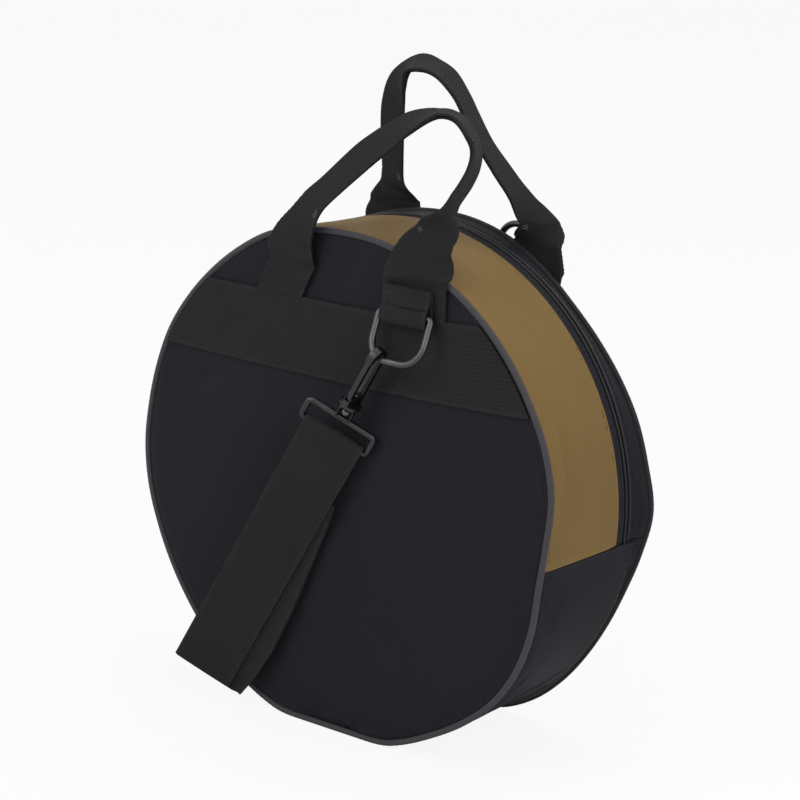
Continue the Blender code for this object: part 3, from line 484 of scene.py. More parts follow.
def nylon_coil_paint(name, colour):
    """Moulded nylon of the zip's coil and its sewing."""
    paint = Paint(name, 0.45, specular_ior_level=0.25)
    grain = paint.noise(320.0, 2.0, 0.5)
    paint.feed(base_color=paint.blend(shade(colour, 0.8), shade(colour, 1.5), grain))
    paint.feed(roughness=0.32 + grain * 0.2)
    paint.feed(normal=paint.bump(grain, 0.3, 0.0001))
    return paint.material


# Modelling helpers
def deselect():
    """Leave the selection empty."""
    bpy.ops.object.select_all(action="DESELECT")


def choose(piece):
    """Make one piece the selected and active object."""
    deselect()
    piece.select_set(True)
    bpy.context.view_layer.objects.active = piece


def apply_modifier(piece, kind, **options):
    """Add a modifier with its settings and apply it."""
    choose(piece)
    modifier = piece.modifiers.new(kind.lower(), kind)
    for key, value in options.items():
        setattr(modifier, key, value)
    bpy.ops.object.modifier_apply(modifier=modifier.name)


def soften(piece, angle=40):
    """Smooth shading with sharp corners kept."""
    choose(piece)
    bpy.ops.object.shade_smooth_by_angle(angle=math.radians(angle))


def join_doubles(piece, reach=doubles_reach):
    """Merge points that lie on each other and turn the faces outwards."""
    choose(piece)
    bpy.ops.object.mode_set(mode="EDIT")
    bpy.ops.mesh.select_all(action="SELECT")
    bpy.ops.mesh.remove_doubles(threshold=reach)
    bpy.ops.mesh.normals_make_consistent(inside=False)
    bpy.ops.mesh.select_all(action="DESELECT")
    bpy.ops.object.mode_set(mode="OBJECT")


def lay_grid(name, counts, place):
    """A flat grid whose points go where place(across, along) says.

    place returns the point, its place in the flat cloth and its distance from the cloth's edge."""
    deselect()
    bpy.ops.mesh.primitive_grid_add(x_subdivisions=counts[0], y_subdivisions=counts[1], size=1.0)
    piece = bpy.context.object
    piece.name = name
    mesh = piece.data
    mesh.name = name
    while mesh.uv_layers:
        mesh.uv_layers.remove(mesh.uv_layers[0])
    cloth = mesh.uv_layers.new(name="cloth")
    spots = [place(vert.co.x + 0.5, vert.co.y + 0.5) for vert in mesh.vertices]
    for loop in mesh.loops:
        cloth.data[loop.index].uv = spots[loop.vertex_index][1]
    edge = mesh.attributes.new("edge", "FLOAT", "POINT")
    for vert, (point, _, distance) in zip(mesh.vertices, spots):
        vert.co = point
        edge.data[vert.index].value = distance
    mesh.update()
    return piece


def turn_faces(piece, outward):
    """Turn a sheet's faces so that they look the way outward(point) says."""
    mesh = piece.data
    agree = sum(polygon.normal.dot(outward(polygon.center)) * polygon.area for polygon in mesh.polygons)
    if agree < 0:
        mesh.flip_normals()
        mesh.update()


def give_wall(piece, wall, offset):
    """Thicken a sheet: offset -1 inwards, 0 both ways, 1 outwards."""
    apply_modifier(piece, "SOLIDIFY", thickness=wall, offset=offset, use_even_offset=True)
    soften(piece)
    return piece


def run_lengths(points):
    """Length of a route up to each of its points."""
    lengths = [0.0]
    for here, there in zip(points, points[1:]):
        lengths.append(lengths[-1] + math.dist(here, there))
    return lengths


def fine_loop(points, pitch):
    """A closed route with points added so that they stand about a pitch apart."""
    filled = []
    for here, there in zip(points, points[1:] + points[:1]):
        parts = max(1, round((there - here).length / pitch))
        filled += [here.lerp(there, step / parts) for step in range(parts)]
    return filled


def rope(name, path, plane, radius, around=12, closed=True, squash=1.0):
    """A round wire or cord along a path, with the normal of its plane or one normal for each point."""
    count = len(path)
    normals = plane if isinstance(plane, list) else [Vector(plane)] * count
    planes = [normal.normalized() for normal in normals]
    lengths = run_lengths(path + path[:1])
    last = count if closed else count - 1

    def place(across, along):
        index = round(along * last)
        spot = index % count
        before = path[spot - 1] if closed or spot else path[spot]
        after = path[(spot + 1) % count] if closed or spot < count - 1 else path[spot]
        side = (after - before).normalized().cross(planes[spot])
        turn = math.tau * across
        thick = radius(lengths[index]) if callable(radius) else radius
        point = path[spot] + (side * math.cos(turn) + planes[spot] * math.sin(turn) * squash) * thick
        return point, (turn * thick, lengths[index]), 1.0

    piece = lay_grid(name, (around, last), place)
    if not closed:
        close_ends(piece)
    join_doubles(piece)
    soften(piece, 60)
    return piece


def close_ends(piece):
    """Fill the open rims of a tube."""
    join_doubles(piece)
    choose(piece)
    bpy.ops.object.mode_set(mode="EDIT")
    bpy.ops.mesh.select_all(action="DESELECT")
    bpy.ops.mesh.select_non_manifold()
    bpy.ops.mesh.edge_face_add()
    bpy.ops.mesh.fill_holes(sides=0)
    bpy.ops.object.mode_set(mode="OBJECT")


def finish_piece(piece, body, material, nodes, slot):
    """Give a piece its material and its body, and hide the frame's solids that it stands for."""
    piece.data.materials.clear()
    piece.data.materials.append(material)
    if body is not None:
        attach(piece, body)
    if nodes:
        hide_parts(*nodes)
    return piece


def settle_cloth(piece, held, reach, pressure, frames=16):
    """Let a cloth with spare width settle over its padding, then cap how far each point has moved."""
    mesh = piece.data
    start = [vert.co.copy() for vert in mesh.vertices]
    group = piece.vertex_groups.new(name="held")
    group.add([index for index, point in enumerate(start) if held(point)], 1.0, "REPLACE")
    choose(piece)
    cloth = piece.modifiers.new("settle", "CLOTH")
    cloth.settings.quality = 5
    cloth.settings.mass = 0.2
    cloth.settings.tension_stiffness = 12
    cloth.settings.compression_stiffness = 12
    cloth.settings.shear_stiffness = 5
    cloth.settings.bending_stiffness = 0.4
    cloth.settings.vertex_group_mass = "held"
    cloth.settings.use_pressure = True
    cloth.settings.uniform_pressure_force = pressure
    cloth.settings.shrink_min = -settings().cover_slack
    cloth.settings.effector_weights.gravity = 0
    cloth.point_cache.frame_end = frames
    for number in range(1, frames + 1):
        bpy.context.scene.frame_set(number)
    bpy.ops.object.modifier_apply(modifier=cloth.name)
    bpy.context.scene.frame_set(1)
    for vert, before in zip(piece.data.vertices, start):
        moved = vert.co - before
        limit = reach(before)
        if moved.length > limit:
            vert.co = before + moved * (limit / moved.length)
    piece.vertex_groups.clear()
    piece.data.update()


# Stitching
def sew(name, rows, body, thread):
    """Rows of stitches that dip in and out of a surface.

    A row is its length, its stitch length and spot(share), which gives a point and the surface's normal."""
    pieces = []
    for number, (length, pitch, spot) in enumerate(rows):
        steps = stitch_steps * max(1, round(length / pitch))
        path, planes = [], []
        for step in range(steps + 1):
            point, normal = spot(step / steps)
            arch = abs(math.sin(math.pi * step / stitch_steps))
            path.append(point + normal * thread_radius * (1.6 * arch - 1.0))
            planes.append(normal)
        pieces.append(rope(f"{name}_{number}", path, planes, thread_radius, 6, closed=False))
    deselect()
    for piece in pieces:
        piece.select_set(True)
    bpy.context.view_layer.objects.active = pieces[0]
    if len(pieces) > 1:
        bpy.ops.object.join()
    pieces[0].name = name
    return finish_piece(pieces[0], body, thread, [], "webbing")


def seam_rows(surface, segments, pitch=None):
    """Rows of stitches for straight segments (u, v, u, v) in a surface's own two directions."""
    rows = []
    for first_u, first_v, last_u, last_v in segments:
        def spot(share, a=first_u, b=first_v, c=last_u, d=last_v):
            return surface(a + (c - a) * share, b + (d - b) * share)

        length = (surface(first_u, first_v)[0] - surface(last_u, last_v)[0]).length
        middle = surface((first_u + last_u) / 2, (first_v + last_v) / 2)[0]
        bent = (surface(first_u, first_v)[0] - middle).length + (surface(last_u, last_v)[0] - middle).length
        rows.append((max(length, bent), pitch or settings().stitch_length, spot))
    return rows


def box_seam(low_u, low_v, high_u, high_v):
    """Segments of a sewn box."""
    return [(low_u, low_v, high_u, low_v), (high_u, low_v, high_u, high_v),
            (high_u, high_v, low_u, high_v), (low_u, high_v, low_u, low_v)]


def tack_seam(centre_u, centre_v, width, height, count=7):
    """Close zigzag of a bar tack."""
    turns = [(centre_u + width * (0.5 if step % 2 else -0.5), centre_v + height * (step / (count - 1) - 0.5))
             for step in range(count)]
    return [(*here, *there) for here, there in zip(turns, turns[1:])]


# The case's round form
def smooth_between(a, b, c, d, share):
    """A value between b and c on a smooth curve through a, b, c and d."""
    return 0.5 * (2 * b + (c - a) * share + (2 * a - 5 * b + 4 * c - d) * share ** 2
                  + (3 * b - a - 3 * c + d) * share ** 3)


def swell_at(table, angle):
    """How far a seam swells past the circle at an angle, in metres."""
    place = (math.degrees(angle) % 360) / 10
    index = int(place)
    near = [table[(index + step) % len(table)] for step in (-1, 0, 1, 2)]
    return smooth_between(*near, place - index) / 1000


def eased(share):
    """A share from 0 to 1 with soft ends."""
    share = min(max(share, 0.0), 1.0)
    return share * share * (3 - 2 * share)


def resting(height, floor):
    """A height kept above a floor, easing onto it."""
    share = min(max(0.5 + 0.5 * (height - floor) / rest_easing, 0.0), 1.0)
    return floor + (height - floor) * share + rest_easing * share * (1 - share)


def shell_point(radius, angle, depth, floor=0.0):
    """A point on the case's soft round shell, flattened where it stands."""
    strip_start = zip_depth + zip_opening_width / 2
    front = eased((gold_edge - depth) / (gold_edge + half_depth))
    rear = eased((depth - strip_start) / (gusset_edge - strip_start))
    reach = radius + swell_at(front_swell, angle) * front + swell_at(rear_swell, angle) * rear
    return Vector((reach * math.cos(angle), depth, resting(axis_height + reach * math.sin(angle), floor)))


def crown(across, height):
    """How far a panel swells beyond its seam."""
    share = min(math.hypot(across, height) / cover_radius, 1.0)
    return panel_crown * (1 - share ** 3)


def panel_spread(across, height, side):
    """A place on a panel, moved with its seam's soft outline."""
    reach = math.hypot(across, height)
    if reach < 1e-6:
        return across, height
    table = front_swell if side < 0 else rear_swell
    extra = swell_at(table, math.atan2(height, across)) * min(reach / cover_radius, 1.0) ** 4
    return across * (1 + extra / reach), height * (1 + extra / reach)


def round_place(across, along):
    """Map a square's place to a disc's: two numbers from -1 to 1 each."""
    a = 2 * across - 1
    b = 2 * along - 1
    if abs(a) < 1e-9 and abs(b) < 1e-9:
        return 0.0, 0.0
    if abs(a) >= abs(b):
        reach, turn = a, (math.pi / 4) * (b / a)
    else:
        reach, turn = b, math.pi / 2 - (math.pi / 4) * (a / b)
    return reach * math.cos(turn), reach * math.sin(turn)


# Panels
def panel_cloth(name, side):
    """Cover cloth of a panel: a crowned round sheet over its padding."""
    floor = 2 * piping_radius + clearance

    def place(across, along):
        a, b = round_place(across, along)
        x, height = a * cover_radius, b * cover_radius
        lift = half_depth + cloth_wall / 2 + crown(x, height)
        wide, high = panel_spread(x, height, side)
        point = Vector((wide, side * lift, resting(axis_height + high, floor)))
        return point, (x, height), cover_radius - math.hypot(x, height)

    piece = lay_grid(name, (76, 76), place)
    turn_faces(piece, lambda point: Vector((0, side, 0)))
    band_foot = band_centre_height - band_width / 2

    def held(point):
        height = point.z - axis_height
        near_rim = math.hypot(point.x, height) > cover_radius - cover_hold
        return near_rim or height > band_foot - band_hold

    def reach(point):
        height = point.z - axis_height
        return cover_reach * min(max((band_foot - band_ease - height) / cover_ease, 0.0), 1.0)

    settle_cloth(piece, held, reach, 0.25)
    return give_wall(piece, cloth_wall, -1)


def padding(name, side, low, high):
    """Foam with its lining behind a panel, from one height to another about the case's axis."""
    wall = panel_foam_wall + clearance + lining_wall
    face = half_depth - cloth_wall / 2 - clearance - wall / 2
    floor = bag_radius - panel_core_radius

    def place(across, along):
        height = low + (high - low) * along
        half = math.sqrt(max(panel_core_radius ** 2 - height ** 2, 1e-6))
        x = half * (2 * across - 1)
        edge = min(half - abs(x), high - height, height - low)
        lift = face + crown(x, height) - padding_drop * max(1 - edge / padding_edge, 0.0) ** 2
        wide, up = panel_spread(x, height, side)
        point = Vector((wide, side * lift, resting(axis_height + up, floor + edge * padding_lift_share)))
        return point, (x, height), edge

    piece = lay_grid(name, (40, 40), place)
    turn_faces(piece, lambda point: Vector((0, side, 0)))
    piece = give_wall(piece, wall * padding_share, 0)
    return piece


def make_panels():
    """Front and rear panels: covers, padding and lining; returns the rear cover."""
    s = settings()
    nylon = cloth_paint("panel_nylon", s.nylon_colour, s.thread_pitch)
    lining = cloth_paint("panel_lining", s.lining_colour, s.thread_pitch * 0.6, roughness=0.5)
    front = panel_cloth("front_panel_cloth", -1)
    finish_piece(front, "case", nylon, ["front_cover"], "black_nylon")
    rear = panel_cloth("rear_panel_cloth", 1)
    finish_piece(rear, None, nylon, ["lid_cover", "rear_lower_cover"], "black_nylon")
    for piece, support in ((front, ["front_padding"]), (rear, ["lid_padding", "rear_lower_padding"])):
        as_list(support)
    thread = thread_paint("panel_thread", shade(s.nylon_colour, 0.9))
    around = cover_radius - seam_inset
    first, last = 0.001 - math.pi / 2, 1.5 * math.pi - 0.001

    def rim_spot(share):
        turn = first + (last - first) * share
        point, normal = panel_surface(-1, cover_lift)(around * math.cos(turn), around * math.sin(turn))
        point.z = resting(point.z, 2 * piping_radius + clearance)
        return point, normal

    sew("front_panel_stitches", [(around * (last - first), s.stitch_length, rim_spot)], "case", thread)
    fold = fold_height - axis_height
    rim = panel_core_radius * 0.9995
    pads = (("front_padding", -1, -rim, rim, "case", ["front_foam", "front_lining"]),
            ("lid_padding", 1, fold + clearance, rim, "lid", ["lid_foam", "lid_lining"]),
            ("rear_lower_padding", 1, -rim, fold - clearance, "case",
             ["rear_lower_foam", "rear_lower_lining"]))
    for name, side, low, high, body, nodes in pads:
        finish_piece(padding(name, side, low, high), body, lining, nodes, "lining")
    return rear


# Gusset
def gusset_cloth(name, radius, depths, angles, wall, counts, puff=0.0, floor=0.0, settle=False, hemmed=False):
    """A band of the gusset, drawn in at its seams; a hemmed one is turned under along its rear edge."""
    width = depths[1] - depths[0]

    def place(across, along):
        reach = across * 2 if hemmed else across
        depth = depths[0] + width * reach
        bulge = puff * math.sin(math.pi * min(reach, 1.0))
        if reach > 1:
            depth = depths[1] - width * hem_share * (reach - 1)
            bulge = -hem_drop
        angle = angles[0] + (angles[1] - angles[0]) * along
        edge = min(depth - depths[0], depths[1] - depth)
        end = min(along, 1 - along) * (angles[1] - angles[0]) * radius
        spot = (width * reach, angle * radius)
        return shell_point(radius + bulge, angle, depth, floor), spot, min(edge, end)

    piece = lay_grid(name, counts, place)
    turn_faces(piece, lambda point: Vector((point.x, 0, point.z - axis_height)))
    if settle:
        def held(point):
            return min(point.y - depths[0], depths[1] - point.y) < gusset_hold or point.z < foot_hold

        def reach(point):
            edge = min(point.y - depths[0], depths[1] - point.y)
            return min(gusset_reach, max(edge, 0.0) * 0.25) * min(max(point.z / foot_ease, 0.0), 1.0)

        settle_cloth(piece, held, reach, 0.3)
    return give_wall(piece, wall, 0 if hemmed else -1)


def make_gusset():
    """Gold band over the top, black base, zip strips and the padding behind them."""
    s = settings()
    nylon = cloth_paint("gusset_nylon", s.nylon_colour, s.thread_pitch)
    gold = cloth_paint("gold_nylon", s.gold_colour, s.thread_pitch, wear=1.2, roughness=0.6, sheen=0.02)
    lining = cloth_paint("gusset_lining", s.lining_colour, s.thread_pitch * 0.6, roughness=0.5)
    full = (-gusset_edge, gusset_edge)
    rear_strip_edge = zip_depth + zip_opening_width / 2
    lid_arc = (top_arc[0] + end_slack, top_arc[1] - end_slack)
    sheets = (
        ("gold_band_cloth", (-gusset_edge, gold_edge), top_arc, (20, 210), gold,
         "gold_gusset", "gold_nylon", "case", True),
        ("base_cloth", full, bottom_arc, (30, 150), nylon, "bottom_gusset", "black_nylon", "case", True),
        ("front_zip_strip_cloth", (gold_edge + clearance, strip_edge), top_arc, (12, 210), nylon,
         "front_zip_strip", "black_nylon", "case", False),
        ("rear_zip_strip_cloth", (rear_strip_edge, gusset_edge), lid_arc, (6, 210), nylon,
         "rear_zip_strip", "black_nylon", "lid", False),
    )
    for name, depths, angles, counts, material, node, slot, body, settle in sheets:
        hemmed = node == "front_zip_strip"
        wall = hem_wall if hemmed else cloth_wall
        radius = bag_radius - hem_wall / 2 if hemmed else bag_radius
        puff = gusset_puff if settle else strip_puff
        piece = gusset_cloth(name, radius, depths, angles, wall, counts, puff, settle=settle, hemmed=hemmed)
        finish_piece(piece, body, material, [node], slot)
        support = ["gold_band_padding" if angles[0] < math.pi / 2 else "base_padding"]
        width = max((depths[1] - depths[0]) * (1 + hem_share if hemmed else 1), narrowest_cut)
        length = (angles[1] - angles[0]) * bag_radius
    gold_thread = thread_paint("gold_thread", shade(s.gold_colour, 0.8))
    black_thread = thread_paint("gusset_thread", shade(s.nylon_colour, 0.9))
    front_seam = seam_inset - gusset_edge
    seams = (("gold_band_stitches", (front_seam, gold_edge - seam_inset), top_arc, "case", gold_thread),
             ("base_stitches", (front_seam, -front_seam), bottom_arc, "case", black_thread),
             ("front_zip_strip_stitches", (strip_edge - seam_inset,), top_arc, "case", black_thread),
             ("rear_zip_strip_stitches", (rear_strip_edge + seam_inset,), lid_arc, "lid", black_thread))
    for name, depths, angles, body, thread in seams:
        rows = []
        for depth in depths:
            turns = [angles[0] + (angles[1] - angles[0]) * (0.01 + 0.98 * part / 6) for part in range(7)]
            runs = [turn * bag_radius for turn in turns]
            segments = [(depth, here, depth, there) for here, there in zip(runs, runs[1:])]
            rows += seam_rows(gusset_surface(bag_radius, seam_lift), segments)
        sew(name, rows, body, thread)
    wall = (gusset_foam_wall + clearance + lining_wall) * padding_share
    pads = (("gold_band_padding", (-gusset_edge, gold_edge), top_arc, (14, 120), "gold_gusset"),
            ("base_padding", full, bottom_arc, (18, 90), "bottom_gusset"))
    for name, depths, angles, counts, node in pads:
        floor = cloth_wall + clearance
        pad = gusset_cloth(name, gusset_foam_radius - clearance, depths, angles, wall, counts, floor=floor)
        finish_piece(pad, "case", lining, [node + "_foam", node + "_lining"], "lining")


# Piping and bindings
def ring_path(radius, depth, floor, angles=None, count=240):
    """Points round the case's outline."""
    first, last = angles or (0.0, math.tau)
    turns = [first + (last - first) * step / count for step in range(count + 1 if angles else count)]
    return [shell_point(radius, turn, depth, floor) for turn in turns]


def make_edges():
    """Piping round both panels, the rear one darkened as painted shade, and the bindings of the seams inside;
    returns the rear piping.
    """
    s = settings()
    grey = piping_paint("piping_tape", s.piping_colour)
    # Painted shade: the rear piping gets the same tape at a third of its colour, standing in for the shadow
    # on the rear rim; the real piping is one grey on both panels.
    painted_shade_tape = piping_paint("rear_piping_painted_shade", shade(s.piping_colour, 0.34))
    tape = webbing_paint("binding_tape", s.lining_colour, s.rib_pitch * 0.6)

    def cord(length):
        return piping_radius * (1 + 0.02 * math.sin(length * math.tau / s.stitch_length))

    cords = []
    for name, depth, body, paint, nodes in (
            ("front_piping_cord", -half_depth, "case", grey, ["front_piping"]),
            ("rear_piping_cord", half_depth, None, painted_shade_tape, ["lid_piping", "rear_lower_piping"])):
        path = ring_path(piping_path_radius, depth, piping_radius * 1.03, count=720)
        cords.append(rope(name, path, (0, 1, 0), cord, 14))
        finish_piece(cords[-1], body, paint, nodes, "grey_piping")
    binding_path = inside_radius - clearance - binding_radius
    lining_back = half_depth - cloth_wall / 2 - panel_foam_wall - lining_wall - 2 * clearance
    depth = lining_back - clearance - binding_radius
    floor = bag_radius - binding_path
    inner = math.asin((axis_height - fold_height) / binding_path)
    slack = (binding_radius + clearance) / binding_path
    bindings = (("front_binding", -depth, None, "case", "front_seam_binding"),
                ("lid_binding", depth, (-inner + slack, math.pi + inner - slack), "lid", "lid_seam_binding"),
                ("rear_lower_binding", depth, (math.pi + inner + slack, math.tau - inner - slack), "case",
                 "rear_lower_seam_binding"))
    for name, place, angles, body, node in bindings:
        path = ring_path(binding_path, place, floor, angles, 180)
        piece = rope(name, path, (0, 1, 0), binding_radius, 10, closed=angles is None)
        finish_piece(piece, body, tape, [node], "lining")
    return cords[1]


# Zip
def coil_teeth(name, radius, depth, angles):
    """Coil of a zip: a ridged cord whose turns stand close together."""
    def ridged(length):
        return zip_coil_radius * (0.90 + 0.13 * math.sin(length * math.tau / coil_pitch))

    return rope(name, ring_path(radius, depth, 0.0, angles, 1100), (0, 1, 0), ridged, 8, closed=False)


def make_zip():
    """Tapes, coils, end tabs, slider and pull."""
    s = settings()
    tape = webbing_paint("zip_tape", (0.0105, 0.0105, 0.0120), s.rib_pitch * 0.45)
    nylon = cloth_paint("tab_nylon", s.nylon_colour, s.thread_pitch)
    plastic = nylon_coil_paint("zip_coil", (0.0085, 0.0085, 0.0095))
    tape_radius = bag_radius - cloth_wall - clearance
    edge = zip_centre_gap / 2
    lid_zip = (-zip_end_angle + end_slack, math.pi + zip_end_angle - slider_parking_angle)
    coil_path = tape_radius + clearance + zip_coil_radius
    halves = (("front", -1, top_arc, "case"), ("rear", 1, lid_zip, "lid"))
    for word, hand, angles, body in halves:
        depths = sorted(zip_depth + hand * (edge + reach) for reach in (0, zip_tape_width))
        piece = gusset_cloth(word + "_zip_tape_cloth", tape_radius, depths, angles, zip_tape_wall, (6, 150))
        finish_piece(piece, body, tape, [word + "_zip_tape"], "zip_tape")
        (angles[1] - angles[0]) * tape_radius
    for word, hand, angles, body in halves:
        depth = zip_depth + hand * (edge + zip_coil_radius)
        teeth = coil_teeth(word + "_zip_teeth", coil_path, depth, angles)
        finish_piece(teeth, body, plastic, [word + "_zip_coil"], "zip_coil")
    tab_radius = bag_radius + clearance + cloth_wall
    depths = (zip_depth - end_tab_width / 2, zip_depth + end_tab_width / 2)
    turn = end_tab_length / bag_radius
    left = math.pi + zip_end_angle + 2 * end_slack
    right = math.tau - zip_end_angle - 2 * end_slack
    for name, angles, node in (("left_end_tab", (left, left + turn), "zip_end_tab_left"),
                               ("right_end_tab", (right - turn, right), "zip_end_tab_right")):
        piece = gusset_cloth(name, tab_radius, depths, angles, cloth_wall, (10, 10))
        finish_piece(piece, "case", nylon, [node], "black_nylon")
    metal = metal_paint("slider_metal", (0.060, 0.062, 0.064), 0.36)
    for name, node, body in (("zip_slider_body", "zip_slider", "slider"),
                             ("zip_pull_tab", "zip_pull", "pull")):
        polished_copy(name, node, body, metal, "dark_steel", slider_corner)


def polished_copy(name, node, body, material, slot, corner):
    """A solid of the frame with its corners rounded."""
    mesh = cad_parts[node].data.copy()
    mesh.name = name
    piece = bpy.data.objects.new(name, mesh)
    bpy.context.scene.collection.objects.link(piece)
    join_doubles(piece, doubles_reach / 2)
    apply_modifier(piece, "DECIMATE", decimate_type="DISSOLVE", angle_limit=math.radians(2))
    apply_modifier(piece, "BEVEL", width=corner, segments=2, limit_method="ANGLE",
                   angle_limit=math.radians(35))
    soften(piece, 50)
    return finish_piece(piece, body, material, [node], slot)


# Webbing on the panels
def webbing_and_thread(word):
    """Paints of a webbing and of the thread that sews it."""
    s = settings()
    webbing = webbing_paint(word + "_webbing", s.webbing_colour, s.rib_pitch)
    return webbing, thread_paint(word + "_thread", shade(s.webbing_colour, 1.12))


def sewn_depth(across, height, layer):
    """Middle of a webbing layer that lies on a panel or over its piping, counted outwards from 1."""
    lift = max(cloth_wall / 2 + crown(across, height), piping_radius)
    return half_depth + lift + layer * (clearance + webbing_wall) - webbing_wall / 2


def panel_surface(side, lift):
    """Surface over a panel for stitches, at a lift beyond its seam's plane: lift(across, height)."""
    def surface(across, height):
        wide, high = panel_spread(across, height, side)
        point = Vector((wide, side * (half_depth + lift(across, height)), axis_height + high))
        return point, Vector((0, side, 0))

    return surface


def gusset_surface(radius, lift):
    """Surface over the gusset for stitches: depth and length round the rim."""
    def surface(depth, run):
        angle = run / radius
        return shell_point(radius + lift, angle, depth), Vector((math.cos(angle), 0, math.sin(angle)))

    return surface


def cover_lift(across, height):
    """Outer face of a cover."""
    return cloth_wall / 2 + crown(across, height)


def band_lift(across, height):
    """Outer face of the webbing band on a cover."""
    return cover_lift(across, height) + clearance + webbing_wall


def make_bands():
    """Webbing bands across both panels, sewn along both edges."""
    webbing, thread = webbing_and_thread("band")
    for name, side, body, node in (("front_band_webbing", -1, "case", "front_band"),
                                   ("rear_band_webbing", 1, "lid", "rear_band")):
        def place(across, along):
            height = band_centre_height + band_width * (across - 0.5)
            half = math.sqrt((cover_radius - clearance) ** 2 - height ** 2)
            x = half * (2 * along - 1)
            lift = band_lift(x, height) - webbing_wall / 2
            wide, high = panel_spread(x, height, side)
            point = Vector((wide, side * (half_depth + lift), axis_height + high))
            return point, (height, x), min(across, 1 - across) * band_width

        piece = lay_grid(name, (24, 110), place)
        turn_faces(piece, lambda point: Vector((0, side, 0)))
        give_wall(piece, webbing_wall, 0)
        finish_piece(piece, body, webbing, [node], "webbing")
        rows = []
        for edge in (band_width / 2 - seam_inset, seam_inset - band_width / 2):
            height = band_centre_height + edge
            half = math.sqrt((cover_radius - clearance) ** 2 - height ** 2) - seam_inset
            rows += seam_rows(panel_surface(side, band_lift), [(-half, height, half, height)])
        sew(node + "_stitches", rows, body, thread)


# Handles
# A loop's points: across, lean and up as shares of its half span, lean and rise; fold share; twist in degrees
front_loop_shares = (
    (-0.600, 0.00, 0.000, 0.50, 0), (-0.585, -0.06, 0.146, 0.60, 4), (-0.445, -0.02, 0.295, 0.85, 18),
    (-0.322, 0.03, 0.407, 1.00, 26), (-0.201, 0.12, 0.491, 1.00, 33), (0.160, 0.36, 0.714, 1.00, 31),
    (0.347, 0.60, 0.830, 1.00, 35), (0.520, 0.78, 0.923, 1.00, 48), (0.760, 0.92, 0.993, 1.00, 73),
    (0.919, 1.00, 1.009, 1.00, 92), (1.157, 1.00, 0.978, 1.00, 109), (1.330, 0.97, 0.876, 1.00, 116),
    (1.432, 0.86, 0.781, 1.00, 124), (1.487, 0.64, 0.681, 1.00, 124), (1.501, 0.32, 0.569, 1.00, 118),
    (1.474, 0.12, 0.470, 1.00, 96), (1.347, 0.02, 0.343, 1.00, 16), (1.226, 0.00, 0.232, 0.50, 8),
    (1.129, 0.00, 0.090, 0.00, 0), (1.090, 0.00, 0.000, 0.00, 0),
)
rear_loop_shares = (
    (-0.760, 0.00, 0.000, 0.35, 0), (-0.740, 0.06, 0.065, 0.62, 10), (-0.718, 0.14, 0.169, 0.94, 19),
    (-0.658, 0.28, 0.349, 1.00, 16), (-0.599, 0.40, 0.535, 1.00, 14), (-0.543, 0.48, 0.700, 1.00, 16),
    (-0.461, 0.53, 0.855, 1.00, 28), (-0.250, 0.56, 1.003, 1.00, 63), (-0.013, 0.56, 1.015, 1.00, 83),
    (0.220, 0.55, 0.970, 1.00, 94), (0.431, 0.52, 0.843, 1.00, 104), (0.561, 0.48, 0.708, 1.00, 106),
    (0.716, 0.40, 0.528, 1.00, 105), (0.910, 0.30, 0.354, 1.00, 100), (1.081, 0.20, 0.205, 1.00, 98),
    (1.205, 0.09, 0.069, 1.00, 82), (1.290, 0.00, 0.000, 1.00, 52),
)


def smooth_route(points, samples):
    """Points on a smooth curve through given points, which may carry extra values."""
    result = []
    last = len(points) - 1
    for index in range(last):
        near = [points[min(max(index + step, 0), last)] for step in (-1, 0, 1, 2)]
        for step in range(samples):
            result.append([smooth_between(*values, step / samples) for values in zip(*near)])
    result.append(list(points[last]))
    return result


def folded_place(share, position):
    """Section of webbing whose outer side folds behind: across and depth at a position from 0 to 1."""
    hidden = handle_webbing / 2 * share
    turn = math.pi * min(hidden / fold_turn_length, 1.0)
    bend = min(turn * fold_radius, hidden)
    visible = handle_webbing - hidden
    reach = handle_webbing * position
    if reach <= visible:
        return visible / 2 - reach, 0.0
    if reach <= visible + bend and bend > 1e-9:
        angle = turn * (reach - visible) / bend
        return -visible / 2 - fold_radius * math.sin(angle), fold_radius * (1 - math.cos(angle))
    rest = reach - visible - bend
    end_x = -visible / 2 - fold_radius * math.sin(turn)
    end_y = fold_radius * (1 - math.cos(turn))
    return end_x - rest * math.cos(turn), end_y + rest * math.sin(turn)


# Where the left and right leg end across the panel, in front and behind
leg_feet = {-1: (-0.0405, 0.0565), 1: (-0.0400, 0.0600)}


def crease(place, middle, width, height):
    """Height of one soft crease at a place."""
    return height * math.exp(-((place - middle) / width) ** 2)


def edge_share(edge):
    """How much of a crease is left near webbing's stiff edge."""
    return eased(edge / crease_edge + 0.35)


def leg_folds(run, across, covered):
    """How far webbing stands off where a leg creases, by the distance from its root: negative below it."""
    run += 0.15 * across
    folds = crease(run, 0.0065, 0.0036, 0.0020)
    if not covered:
        folds += crease(run, -0.0065, 0.0030, 0.0016)
    return folds * (1 - 0.35 * math.cos(across * 110 + 0.8))


def leg_fold(side, hand, height):
    """Fold of a sewn leg: the front left one is half folded, the rear ones fold as they rise to the loop."""
    if side < 0:
        return 0.5 if hand < 0 else 0.0
    start = rear_fold_starts[hand > 0]
    root = rear_loop_shares[-1 if hand > 0 else 0][3]
    return root * max(height - start, 0.0) / (rear_root_height - start)


def fold_step(side):
    """How far a folded handle stands out, so that its hidden half has room behind it."""
    return 2 * fold_radius if side < 0 else 0


def rim_height(across):
    """Height of the case's rim at a place across it."""
    return math.sqrt(bag_radius ** 2 - across ** 2) + rim_clearance


